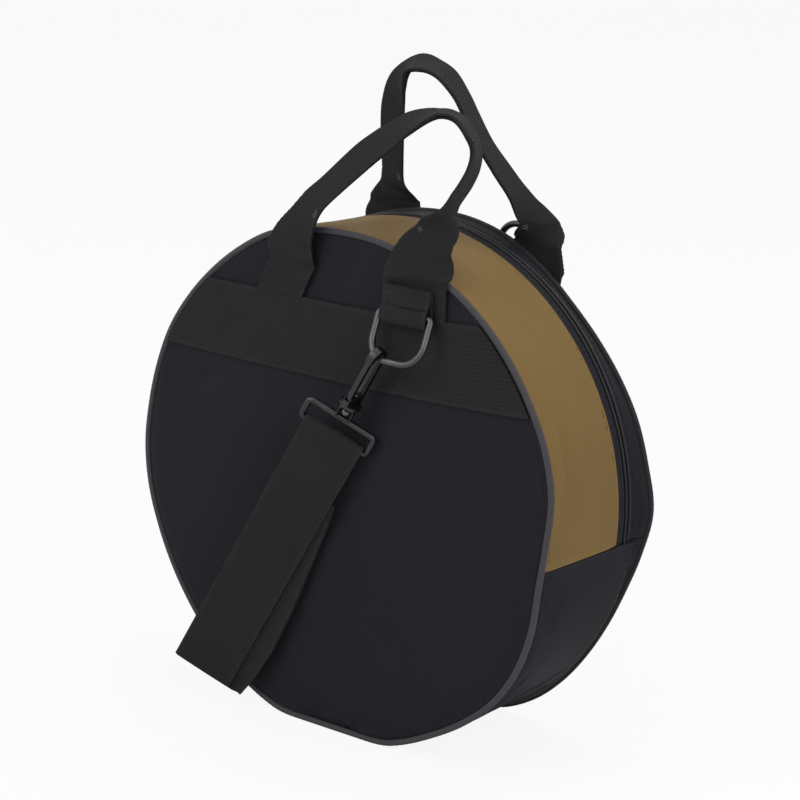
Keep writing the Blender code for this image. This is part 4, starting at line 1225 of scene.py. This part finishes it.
def handle_route(side, shares, root_height, rise):
    """Centre line of a handle from the foot of one leg over the loop to the foot of the other."""
    low = band_centre_height + band_width / 2 + clearance
    step_out = fold_step(side)
    table = [(across * handle_half_span, side * (loop_root_depth + step_out * fold - loop_lean * lean),
              axis_height + root_height + rise * up, fold, math.radians(twist))
             for across, lean, up, fold, twist in shares]
    loop = smooth_route(table, loop_samples)
    legs = []
    for hand in (-1, 1):
        leg = []
        for step in range(leg_steps):
            height = low + (root_height - low) * step / leg_steps
            fold = leg_fold(side, hand, height)
            foot = leg_feet[side][hand > 0]
            root = table[0] if hand < 0 else table[-1]
            x = foot + (root[0] - foot) * step / leg_steps
            twist = root[4] * eased(1 - (root_height - height) / rear_twist_height) if side > 0 else 0.0
            depth = side * (sewn_depth(x, height, 1) + step_out * fold)
            leg.append([x, depth, axis_height + height, fold, twist])
        legs.append(leg)
    return legs[0] + loop + legs[1][::-1]


def handle_frames(route):
    """Centre, width direction, outward direction and fold share at each point of a handle's route."""
    last = len(route) - 1
    facing = Vector((0, -1, 0))
    frames = []
    for index, (x, y, z, fold, twist) in enumerate(route):
        before = Vector(route[max(index - 1, 0)][:3])
        after = Vector(route[min(index + 1, last)][:3])
        tangent = (after - before).normalized()
        from_root = max(min(index, last - index) - leg_steps, 0)
        upright = Vector((0, 0, 1 if index < last / 2 else -1))
        tangent = upright.lerp(tangent, min(from_root / upright_samples, 1.0)).normalized()
        normal = (facing - tangent * facing.dot(tangent)).normalized()
        across = tangent.cross(normal)
        wide = across * math.cos(twist) + normal * math.sin(twist)
        frames.append((Vector((x, y, z)), wide, tangent.cross(wide), min(max(fold, 0.0), 1.0)))
    return frames


def make_handle(name, side, shares, root_height, rise):
    """One webbing handle: two sewn legs and a free loop that folds in half along its grip."""
    route = handle_route(side, shares, root_height, rise)
    frames = handle_frames(route)
    last = len(route) - 1
    lengths = run_lengths([point[:3] for point in route])
    roots = (lengths[leg_steps], lengths[last - leg_steps])

    def place(across, along):
        index = round(along * last)
        centre, wide, thick, fold = frames[index]
        a, b = folded_place(fold, across)
        point = centre + wide * a + thick * b
        if index < leg_steps or index > last - leg_steps:
            height = route[index][2] - axis_height
            sewn = side * (sewn_depth(point.x, height, 1) + fold_step(side) * fold) + thick.y * b
            above = height - rim_height(point.x)
            free = max(point.y, sewn - rim_slope * max(above, 0.0))
            loose = eased(1 + above / rear_twist_height) if side > 0 else 0.0
            point.y = sewn + (free - sewn) * loose
        run = min(lengths[index] - roots[0], roots[1] - lengths[index])
        edge = min(across, 1 - across) * handle_webbing
        point.y += side * leg_folds(run, a, covered=index > last / 2) * edge_share(edge)
        return point, (handle_webbing * across, lengths[index]), edge

    piece = give_wall(lay_grid(name, (44, last), place), webbing_wall, 0)
    return piece, lengths[-1], frames


def grip_rows(frames, first, last, inset):
    """A row of stitches along the folded grip, on its outer face near the open edges."""
    span = frames[first:last]
    length = sum((there[0] - here[0]).length for here, there in zip(span, span[1:]))

    def spot(share):
        place = share * (len(span) - 1)
        index = min(int(place), len(span) - 2)
        part = place - index
        centre, wide, thick = (span[index][item].lerp(span[index + 1][item], part) for item in range(3))
        width = handle_webbing * (1 - min(span[index][3], 1.0) / 2)
        return centre + wide * (width / 2 - inset) - thick * webbing_wall / 2, -thick

    return [(length, settings().stitch_length, spot)]


def make_handles():
    """Both webbing handles with their sewn legs, seams and bar tacks."""
    webbing, thread = webbing_and_thread("handle")
    pale = thread_paint("tack_thread", (0.090, 0.085, 0.080))
    made = (("front", -1, front_loop_shares, front_root_height, front_loop_rise, "case"),
            ("rear", 1, rear_loop_shares, rear_root_height, rear_loop_rise, "lid"))
    low = band_centre_height + band_width / 2 + clearance + seam_inset
    half = handle_webbing / 2 - seam_inset
    for word, side, shares, root, rise, body in made:
        swing = word + "_handle"
        piece, length, frames = make_handle(swing + "_webbing", side, shares, root, rise)
        finish_piece(piece, None, webbing, [swing, swing + "_left_leg", swing + "_right_leg"], "webbing")
        start, end = ((0, side * loop_root_depth, axis_height + root + reach) for reach in handle_bend)
        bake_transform(piece)
        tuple(start)
        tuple(end)

        def leg_lift(across, height, side=side):
            outer = 2 * fold_radius * leg_fold(side, across, height)
            return sewn_depth(across, height, 1) + outer + webbing_wall / 2 - half_depth

        leg = panel_surface(side, leg_lift)
        rows = []
        for end in (0, -1):
            middle = frames[end][0].x
            reach = half * (1 - frames[end][3] / 2)
            rows += seam_rows(leg, box_seam(middle - reach, low, middle + reach, low + leg_seam_height))
        sew(swing + "_leg_stitches", rows, body, thread)
        folded = [index for index, item in enumerate(frames) if item[3] > 0.97]
        sew(swing + "_grip_stitches", grip_rows(frames, folded[0], folded[-1], seam_inset), swing, thread)
        tacks = []
        for index in (folded[0], folded[-1]):
            centre, wide, thick, _ = frames[index]
            tangent = wide.cross(thick)

            def face(u, v, centre=centre, wide=wide, thick=thick, tangent=tangent):
                return centre + wide * u + tangent * v - thick * webbing_wall / 2, -thick

            tack = tack_seam(handle_webbing / 4 - tack_inset, 0, tack_width, tack_height)
            tacks += seam_rows(face, tack, pitch=tack_width)
        sew(swing + "_bar_tacks", tacks, swing, pale)


# Rings in their tabs
def tab_layers(side, bar_height):
    """Depths of the tab's back layer and of the ring's bar in it."""
    back = sewn_depth(ring_place - tab_webbing / 2, bar_height - 2 * ring_wire, 2)
    return side * back, side * (back + webbing_wall / 2 + clearance + ring_wire)


def ring_direction(side, tilt, up):
    """Unit vector from a ring's bar towards its bow."""
    return Vector((0, side * math.sin(tilt), (1 if up else -1) * math.cos(tilt)))


def arc(centre, radius, start, end, steps):
    """Points on an arc in a plane, as pairs."""
    turns = [start + (end - start) * step / steps for step in range(steps + 1)]
    return [(centre[0] + radius * math.cos(turn), centre[1] + radius * math.sin(turn)) for turn in turns]


def ring_outline(steps=10):
    """Centre line of a ring: across and drop from its bar."""
    top = ring_side_gap + ring_wire
    half = tab_webbing / 2 + top
    bow = ring_bow_corner
    points = arc((half - top, top), top, -math.pi / 2, 0, steps)
    points += arc((half - bow, ring_drop - bow), bow, 0, math.pi / 2, 2 * steps)
    points += arc((bow - half, ring_drop - bow), bow, math.pi / 2, math.pi, 2 * steps)
    points += arc((top - half, top), top, math.pi, 1.5 * math.pi, steps)
    return points


def tab_folds(below, across):
    """How far a tab's front stands off where it creases, by the distance below its sewn end."""
    return crease(below - 0.12 * across, 0.0085, 0.0030, 0.0019)


def make_rings():
    """Webbing tabs and the rings that hang in them."""
    webbing, thread = webbing_and_thread("tab")
    metal = metal_paint("ring_metal", (0.085, 0.085, 0.091), 0.40)
    for side, bar_height, sewn, word, body in ((-1, front_bar_height, front_tab_length, "front", "case"),
                                               (1, rear_bar_height, rear_tab_length, "rear", "lid")):
        back, bar = tab_layers(side, bar_height)
        radius = ring_wire + clearance + webbing_wall / 2
        front = back + side * (webbing_wall + clearance)
        level = axis_height + bar_height
        low = level - tab_slack
        top = level + sewn
        mouth = level + tab_mouth_share * radius
        outer = bar + side * radius
        path = [(back, top + (low - top) * step / 8) for step in range(9)]
        path += [(bar - side * radius * math.cos(turn), low - radius * math.sin(turn))
                 for turn in [math.pi * step / 14 for step in range(1, 15)]]
        path += [(outer, low + (level - low) * step / 4) for step in range(1, 5)]
        path += [(outer + (front - outer) * eased(step / 10), level + (mouth - level) * step / 10)
                 for step in range(1, 11)]
        front_start = len(path)
        path += [(front, mouth + (top - mouth) * step / 16) for step in range(1, 17)]
        lengths = run_lengths(path)
        half = tab_webbing / 2

        def place(across, along):
            index = round(along * (len(path) - 1))
            depth, height = path[index]
            x = ring_place + half * (2 * across - 1)
            edge = min(across, 1 - across) * tab_webbing
            if index > front_start - 6:
                depth += side * tab_folds(top - height, x - ring_place) * edge_share(edge)
            return Vector((x, depth, height)), (x, lengths[index]), edge

        tab = give_wall(lay_grid(word + "_tab_webbing", (20, len(path) - 1), place), webbing_wall, 0)
        finish_piece(tab, body, webbing, [word + "_ring_tab"], "webbing")

        def face(x, height, front=front, side=side, top=top):
            stand = tab_folds(top - height, x - ring_place)
            return Vector((x, front + side * (webbing_wall / 2 + stand), height)), Vector((0, side, 0))

        inset = half - seam_inset
        box = box_seam(ring_place - inset, top + tab_seam[0], ring_place + inset, top + tab_seam[1])
        sew(word + "_tab_stitches", seam_rows(face, box), body, thread)
        tilt = front_ring_tilt if side < 0 else -rear_ring_tilt
        drop = ring_direction(side, tilt, side > 0)
        centre = Vector((ring_place, bar, level))
        points = [centre + Vector((across, 0, 0)) + drop * down for across, down in ring_outline()]
        route = fine_loop(points, ring_pitch)
        ring = rope(word + "_wire_ring", route, Vector((1, 0, 0)).cross(drop),
                    ring_wire * ring_wire_share, 20)
        finish_piece(ring, word + "_ring", metal, [word + "_ring"], "gunmetal")


# Swivel hook, eye and strap
def hook_frame():
    """Frame of the hook: local Z runs up its shaft and local Y points at the panel."""
    bar = Vector((ring_place, tab_layers(-1, front_bar_height)[1], axis_height + front_bar_height))
    half = tab_webbing / 2 + ring_side_gap + ring_wire
    drop = ring_direction(-1, front_ring_tilt, False)
    corner = bar + Vector((ring_bow_corner - half, 0, 0)) + drop * (ring_drop - ring_bow_corner)
    wire = corner + Vector((-ring_bow_corner * math.sin(hook_wire_angle), 0, 0))
    wire += drop * ring_bow_corner * math.cos(hook_wire_angle)
    up = Vector((math.sin(hook_lean), 0, math.cos(hook_lean)))
    inward = Vector((0, 1, 0))
    turned = Matrix((inward.cross(up), inward, up)).transposed().to_4x4()
    turned.translation = wire - up * (hook_bow_height + hook_throat_half - hook_wire_play - ring_wire)
    return turned


def rolled_frame():
    """The hook's frame turned about its shaft to the way that the strap faces."""
    return hook_frame() @ Matrix.Rotation(strap_roll, 4, "Z")


def yoke_outline():
    """Centre line of the eye's yoke, as pairs across and up."""
    reach = (yoke_half_width + yoke_window_half) / 2
    high = -clearance - yoke_top_wall / 2
    low = -yoke_height
    top = yoke_top_corner
    foot = yoke_foot_corner
    return (arc((reach - top, high - top), top, 0, math.pi / 2, 6)
            + arc((top - reach, high - top), top, math.pi / 2, math.pi, 6)
            + arc((foot - reach, low + foot), foot, math.pi, 1.5 * math.pi, 4)
            + arc((reach - foot, low + foot), foot, 1.5 * math.pi, math.tau, 4))


def make_hook():
    """Snap hook with its gate, pin, spring, swivel rivet and rectangular eye."""
    metal = metal_paint("hook_metal", (0.050, 0.052, 0.053), 0.38)
    bright = metal_paint("rivet_metal", (0.115, 0.115, 0.125), 0.30)
    polished_copy("snap_hook", "hook_body", "hook", metal, "dark_steel", hook_corner)
    polished_copy("snap_gate", "hook_gate", "gate", metal, "dark_steel", gate_corner)
    polished_copy("gate_rivet", "hook_gate_pin", "hook", bright, "dark_steel", gate_rivet_corner)
    polished_copy("swivel_rivet", "hook_rivet", "hook", bright, "gunmetal", swivel_rivet_corner)
    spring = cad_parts["hook_gate_spring"]
    spring.data.materials.clear()
    spring.data.materials.append(bright)
    rolled = rolled_frame()
    forward = rolled.to_3x3() @ Vector((0, 1, 0))
    half_width = strap_webbing / 2 + eye_side_gap + eye_wire
    middle = -yoke_height - eye_height / 2
    corner = eye_side_gap + eye_wire
    path = []
    for hand_x, hand_y, start in ((1, 1, 0), (-1, 1, 0.5), (-1, -1, 1), (1, -1, 1.5)):
        centre = (hand_x * (half_width - corner), hand_y * (eye_height / 2 - corner))
        path += arc(centre, corner, math.pi * start, math.pi * (start + 0.5), 8)
    points = [rolled @ Vector((across, 0, middle + up)) for across, up in path]
    eye = rope("strap_eye", fine_loop(points, eye_pitch), forward, eye_wire, 18)
    finish_piece(eye, "swivel_eye", metal, ["swivel_eye"], "dark_steel")
    wall = yoke_half_width - yoke_window_half
    points = [rolled @ Vector((across, 0, up)) for across, up in yoke_outline()]
    yoke = rope("eye_yoke", fine_loop(points, yoke_pitch), forward, wall / 2, 20,
                squash=2 * yoke_half_depth / wall)
    finish_piece(yoke, "swivel_eye", metal, [], "dark_steel")


# Sideways slip of the strap's inner layers by the distance below the bar, in millimetres
layer_slips = ((42, 1.5), (60, 4.5), (85, 7.0), (115, 10.5), (150, 12.5), (175, 11.0), (192, 8.5))


def layer_shift(layer, down):
    """How far a layer of the folded strap has slipped sideways at a distance below the bar."""
    place = min(max(down * 1000, layer_slips[0][0]), layer_slips[-1][0])
    for (low, first), (high, last) in zip(layer_slips, layer_slips[1:]):
        if place <= high:
            return min(layer, 1.0) * (first + (last - first) * (place - low) / (high - low)) / 1000


def strap_path():
    """Route of the strap's middle: down from the eye's bar, outwards from it, and sideways shift."""
    turn = eye_wire + clearance + strap_wall / 2
    pitch = strap_wall + strap_fold_gap
    path = []
    for step in range(9):
        path.append((strap_sewn_length + (0.3 * turn - strap_sewn_length) * step / 8, turn - pitch, 0))
    path += [(-turn * math.sin(angle), -turn * math.cos(angle), 0)
             for angle in [math.pi * step / 14 for step in range(-1, 15)]]
    for layer in range(strap_layers):
        out = turn - layer * pitch
        low = strap_bundle_length - strap_end_step * (layer // 2)
        high = strap_top_step + strap_end_step * (layer // 2)
        goes_down = layer % 2 == 0
        first = strap_start if layer == 0 else (high if goes_down else low)
        end = low if goes_down else high
        for step in range(0 if layer else 1, strap_steps + 1):
            down = first + (end - first) * step / strap_steps
            path.append((down, out, layer_shift(layer, down)))
        if layer < strap_layers - 1:
            sign = pitch / 2 if goes_down else -pitch / 2
            path += [(end + sign * math.sin(angle), out - pitch / 2 + pitch / 2 * math.cos(angle),
                      layer_shift(layer + angle / math.pi, end))
                     for angle in [math.pi * part / 8 for part in range(1, 8)]]
    return path


def make_strap():
    """Shoulder strap: sewn round the eye's bar and folded to and fro into a flat bundle."""
    webbing, thread = webbing_and_thread("strap")
    rolled = rolled_frame()
    bar = Vector((0, 0, -yoke_height - eye_height))
    path = strap_path()
    lengths = run_lengths(path)
    half = strap_webbing / 2

    def wave_at(sideways, down):
        return strap_wave * math.sin(down * 42 + sideways * 60) * eased(down / strap_wave_ease)

    def place(across, along):
        index = round(along * (len(path) - 1))
        down, out, shift = path[index]
        sideways = shift + half * (2 * across - 1)
        curl = 0.45 * max(sideways - half - strap_layer_shift, 0.0)
        point = rolled @ (bar + Vector((sideways, -out - curl - wave_at(sideways, down), -down)))
        return point, (strap_webbing * across, lengths[index]), min(across, 1 - across) * strap_webbing

    piece = give_wall(lay_grid("folded_strap", (20, len(path) - 1), place), strap_wall, 0)
    finish_piece(piece, "strap", webbing, ["shoulder_strap"], "webbing")
    turn = eye_wire + clearance + strap_wall / 2

    def face(across, down):
        outside = turn + strap_wall / 2 + wave_at(across, down)
        return rolled @ (bar + Vector((across, -outside, -down))), rolled.to_3x3() @ Vector((0, -1, 0))

    inset = half - seam_inset
    box = box_seam(-inset, strap_seam_top, inset, strap_sewn_length - seam_inset)
    sew("strap_stitches", seam_rows(face, box), "strap", thread)


# Stage
def stage_node(tree, kind, inputs, **options):
    """A node of the stage with its settings and its inputs' values or links; gives its outputs."""
    node = tree.nodes.new(kind)
    for key, value in options.items():
        setattr(node, key, value)
    for key, value in inputs.items():
        if isinstance(value, bpy.types.NodeSocket):
            tree.links.new(value, node.inputs[key])
        else:
            node.inputs[key].default_value = value
    return node.outputs


def empty_tree(owner):
    """The cleared node tree of a material or world."""
    owner.use_nodes = True
    owner.node_tree.nodes.clear()
    return owner.node_tree


def make_floor():
    """Pale floor that looks nearly white to the camera and keeps the shadow."""
    deselect()
    bpy.ops.mesh.primitive_plane_add(size=floor_size, location=(0, 0, 0))
    floor = bpy.context.object
    floor.name = "floor"
    material = bpy.data.materials.new("pale_floor")
    tree = empty_tree(material)
    ray = stage_node(tree, "ShaderNodeLightPath", {})
    matt = stage_node(tree, "ShaderNodeBsdfDiffuse", {"Color": (0.78, 0.78, 0.78, 1)})
    glow = stage_node(tree, "ShaderNodeEmission", {"Color": (1, 1, 1, 1)})
    share = stage_node(tree, "ShaderNodeMath", {0: ray["Is Camera Ray"], 1: floor_glow_share},
                       operation="MULTIPLY")
    mix = stage_node(tree, "ShaderNodeMixShader", {0: share[0], 1: matt[0], 2: glow[0]})
    stage_node(tree, "ShaderNodeOutputMaterial", {0: mix[0]})
    floor.data.materials.append(material)


def make_world():
    """Soft surroundings that look white to the camera and in reflections."""
    world = bpy.data.worlds.new("studio")
    bpy.context.scene.world = world
    tree = empty_tree(world)
    soft = stage_node(tree, "ShaderNodeBackground", {"Color": (1, 1, 1, 1), "Strength": 0.55})
    white = stage_node(tree, "ShaderNodeBackground", {"Color": (1, 1, 1, 1), "Strength": 1.0})
    ray = stage_node(tree, "ShaderNodeLightPath", {})
    rays = {0: ray["Is Camera Ray"], 1: ray["Is Transmission Ray"]}
    seen = stage_node(tree, "ShaderNodeMath", rays, operation="MAXIMUM")
    shiny = stage_node(tree, "ShaderNodeMath", {0: seen[0], 1: ray["Is Glossy Ray"]}, operation="MAXIMUM")
    mix = stage_node(tree, "ShaderNodeMixShader", {0: shiny[0], 1: soft[0], 2: white[0]})
    stage_node(tree, "ShaderNodeOutputWorld", {0: mix[0]})


def make_lamps():
    """Square lamps: place, size and power."""
    aim = Vector((0, 0, axis_height))
    lamps = (("key_lamp", (-0.6, -1.6, 1.5), 1.2, 15.0), ("fill_lamp", (1.9, -0.5, 0.9), 1.4, 13.0),
             ("top_lamp", (0.2, 0.5, 2.0), 1.2, 12.0))
    for name, place, size, power in lamps:
        data = bpy.data.lights.new(name, "AREA")
        data.shape = "SQUARE"
        data.size = size
        data.energy = power
        lamp = bpy.data.objects.new(name, data)
        bpy.context.scene.collection.objects.link(lamp)
        lamp.location = place
        lamp.rotation_mode = "QUATERNION"
        lamp.rotation_quaternion = (aim - Vector(place)).to_track_quat("-Z", "Y")


def make_camera():
    """The camera at the photograph's angle: its own right, up and back, and the point it looks at."""
    right = Vector((0.77407, 0.63266, 0.02343))
    up = Vector((-0.18136, 0.18613, 0.96564))
    back = Vector((0.60657, -0.75173, 0.25882))
    target = Vector((-0.00217, 0.01277, 0.18888))
    data = bpy.data.cameras.new("camera")
    data.sensor_width = 36.0
    data.lens = 122.427
    data.clip_end = 50.0
    camera = bpy.data.objects.new("camera", data)
    bpy.context.scene.collection.objects.link(camera)
    turned = Matrix((right, up, back)).transposed().to_4x4()
    turned.translation = target + back * settings().camera_distance
    camera.matrix_world = turned
    bpy.context.scene.camera = camera


def make_stage():
    """Floor, world, lamps and the camera."""
    bpy.context.scene.view_settings.view_transform = "Standard"
    make_floor()
    make_world()
    make_lamps()
    make_camera()


class CasePanels(bpy.types.Operator):
    """Make the covers, padding and lining of both panels, with the piping and bindings round them"""
    bl_idname = "tambourine_case.panels"
    bl_label = "Panels and piping"

    def execute(self, context):
        for piece in (make_panels(), make_edges()):
            start, end = ((0, half_depth, fold_height + reach) for reach in (-lid_fold_reach, lid_fold_reach))
            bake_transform(piece)
            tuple(start)
            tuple(end)
        return {"FINISHED"}


class CaseGusset(bpy.types.Operator):
    """Make the gold band, the base and the zip strips with their padding"""
    bl_idname = "tambourine_case.gusset"
    bl_label = "Gusset"

    def execute(self, context):
        make_gusset()
        return {"FINISHED"}


class CaseZip(bpy.types.Operator):
    """Make the zip's tapes, coils, end tabs, slider and pull"""
    bl_idname = "tambourine_case.zip"
    bl_label = "Zip"

    def execute(self, context):
        make_zip()
        return {"FINISHED"}


class CaseWebbing(bpy.types.Operator):
    """Make the bands and the handles"""
    bl_idname = "tambourine_case.webbing"
    bl_label = "Bands and handles"

    def execute(self, context):
        make_bands()
        make_handles()
        return {"FINISHED"}


class CaseRings(bpy.types.Operator):
    """Make the rings and their tabs"""
    bl_idname = "tambourine_case.rings"
    bl_label = "Rings and tabs"

    def execute(self, context):
        make_rings()
        return {"FINISHED"}


class CaseHook(bpy.types.Operator):
    """Make the snap hook and its eye"""
    bl_idname = "tambourine_case.hook"
    bl_label = "Snap hook"

    def execute(self, context):
        make_hook()
        return {"FINISHED"}


class CaseStrap(bpy.types.Operator):
    """Make the folded shoulder strap"""
    bl_idname = "tambourine_case.strap"
    bl_label = "Shoulder strap"

    def execute(self, context):
        make_strap()
        return {"FINISHED"}


class CaseStage(bpy.types.Operator):
    """Make the floor, the lamps and the camera"""
    bl_idname = "tambourine_case.stage"
    bl_label = "Stage"

    def execute(self, context):
        make_stage()
        return {"FINISHED"}


operators = (CasePanels, CaseGusset, CaseZip, CaseWebbing, CaseRings, CaseHook, CaseStrap, CaseStage)


class CasePanel(bpy.types.Panel):
    """Buttons for the case's pieces."""
    bl_idname = "VIEW3D_PT_tambourine_case"
    bl_label = "Tambourine case"
    bl_space_type = "VIEW_3D"
    bl_region_type = "UI"
    bl_category = "Case"

    def draw(self, context):
        for name in CaseSettings.__annotations__:
            self.layout.prop(context.scene.tambourine_case, name)
        for operator in operators:
            self.layout.operator(operator.bl_idname)


def register():
    """Register the settings, the operators and the panel."""
    for item in (CaseSettings, *operators, CasePanel):
        bpy.utils.register_class(item)
    bpy.types.Scene.tambourine_case = bpy.props.PointerProperty(type=CaseSettings)


def unregister():
    """Take them out again."""
    del bpy.types.Scene.tambourine_case
    for item in (CasePanel, *reversed(operators), CaseSettings):
        bpy.utils.unregister_class(item)


def main():
    """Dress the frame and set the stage."""
    register()
    for operator in operators:
        group, name = operator.bl_idname.split(".")
        getattr(getattr(bpy.ops, group), name)()


if __name__ == "__main__":
    main()
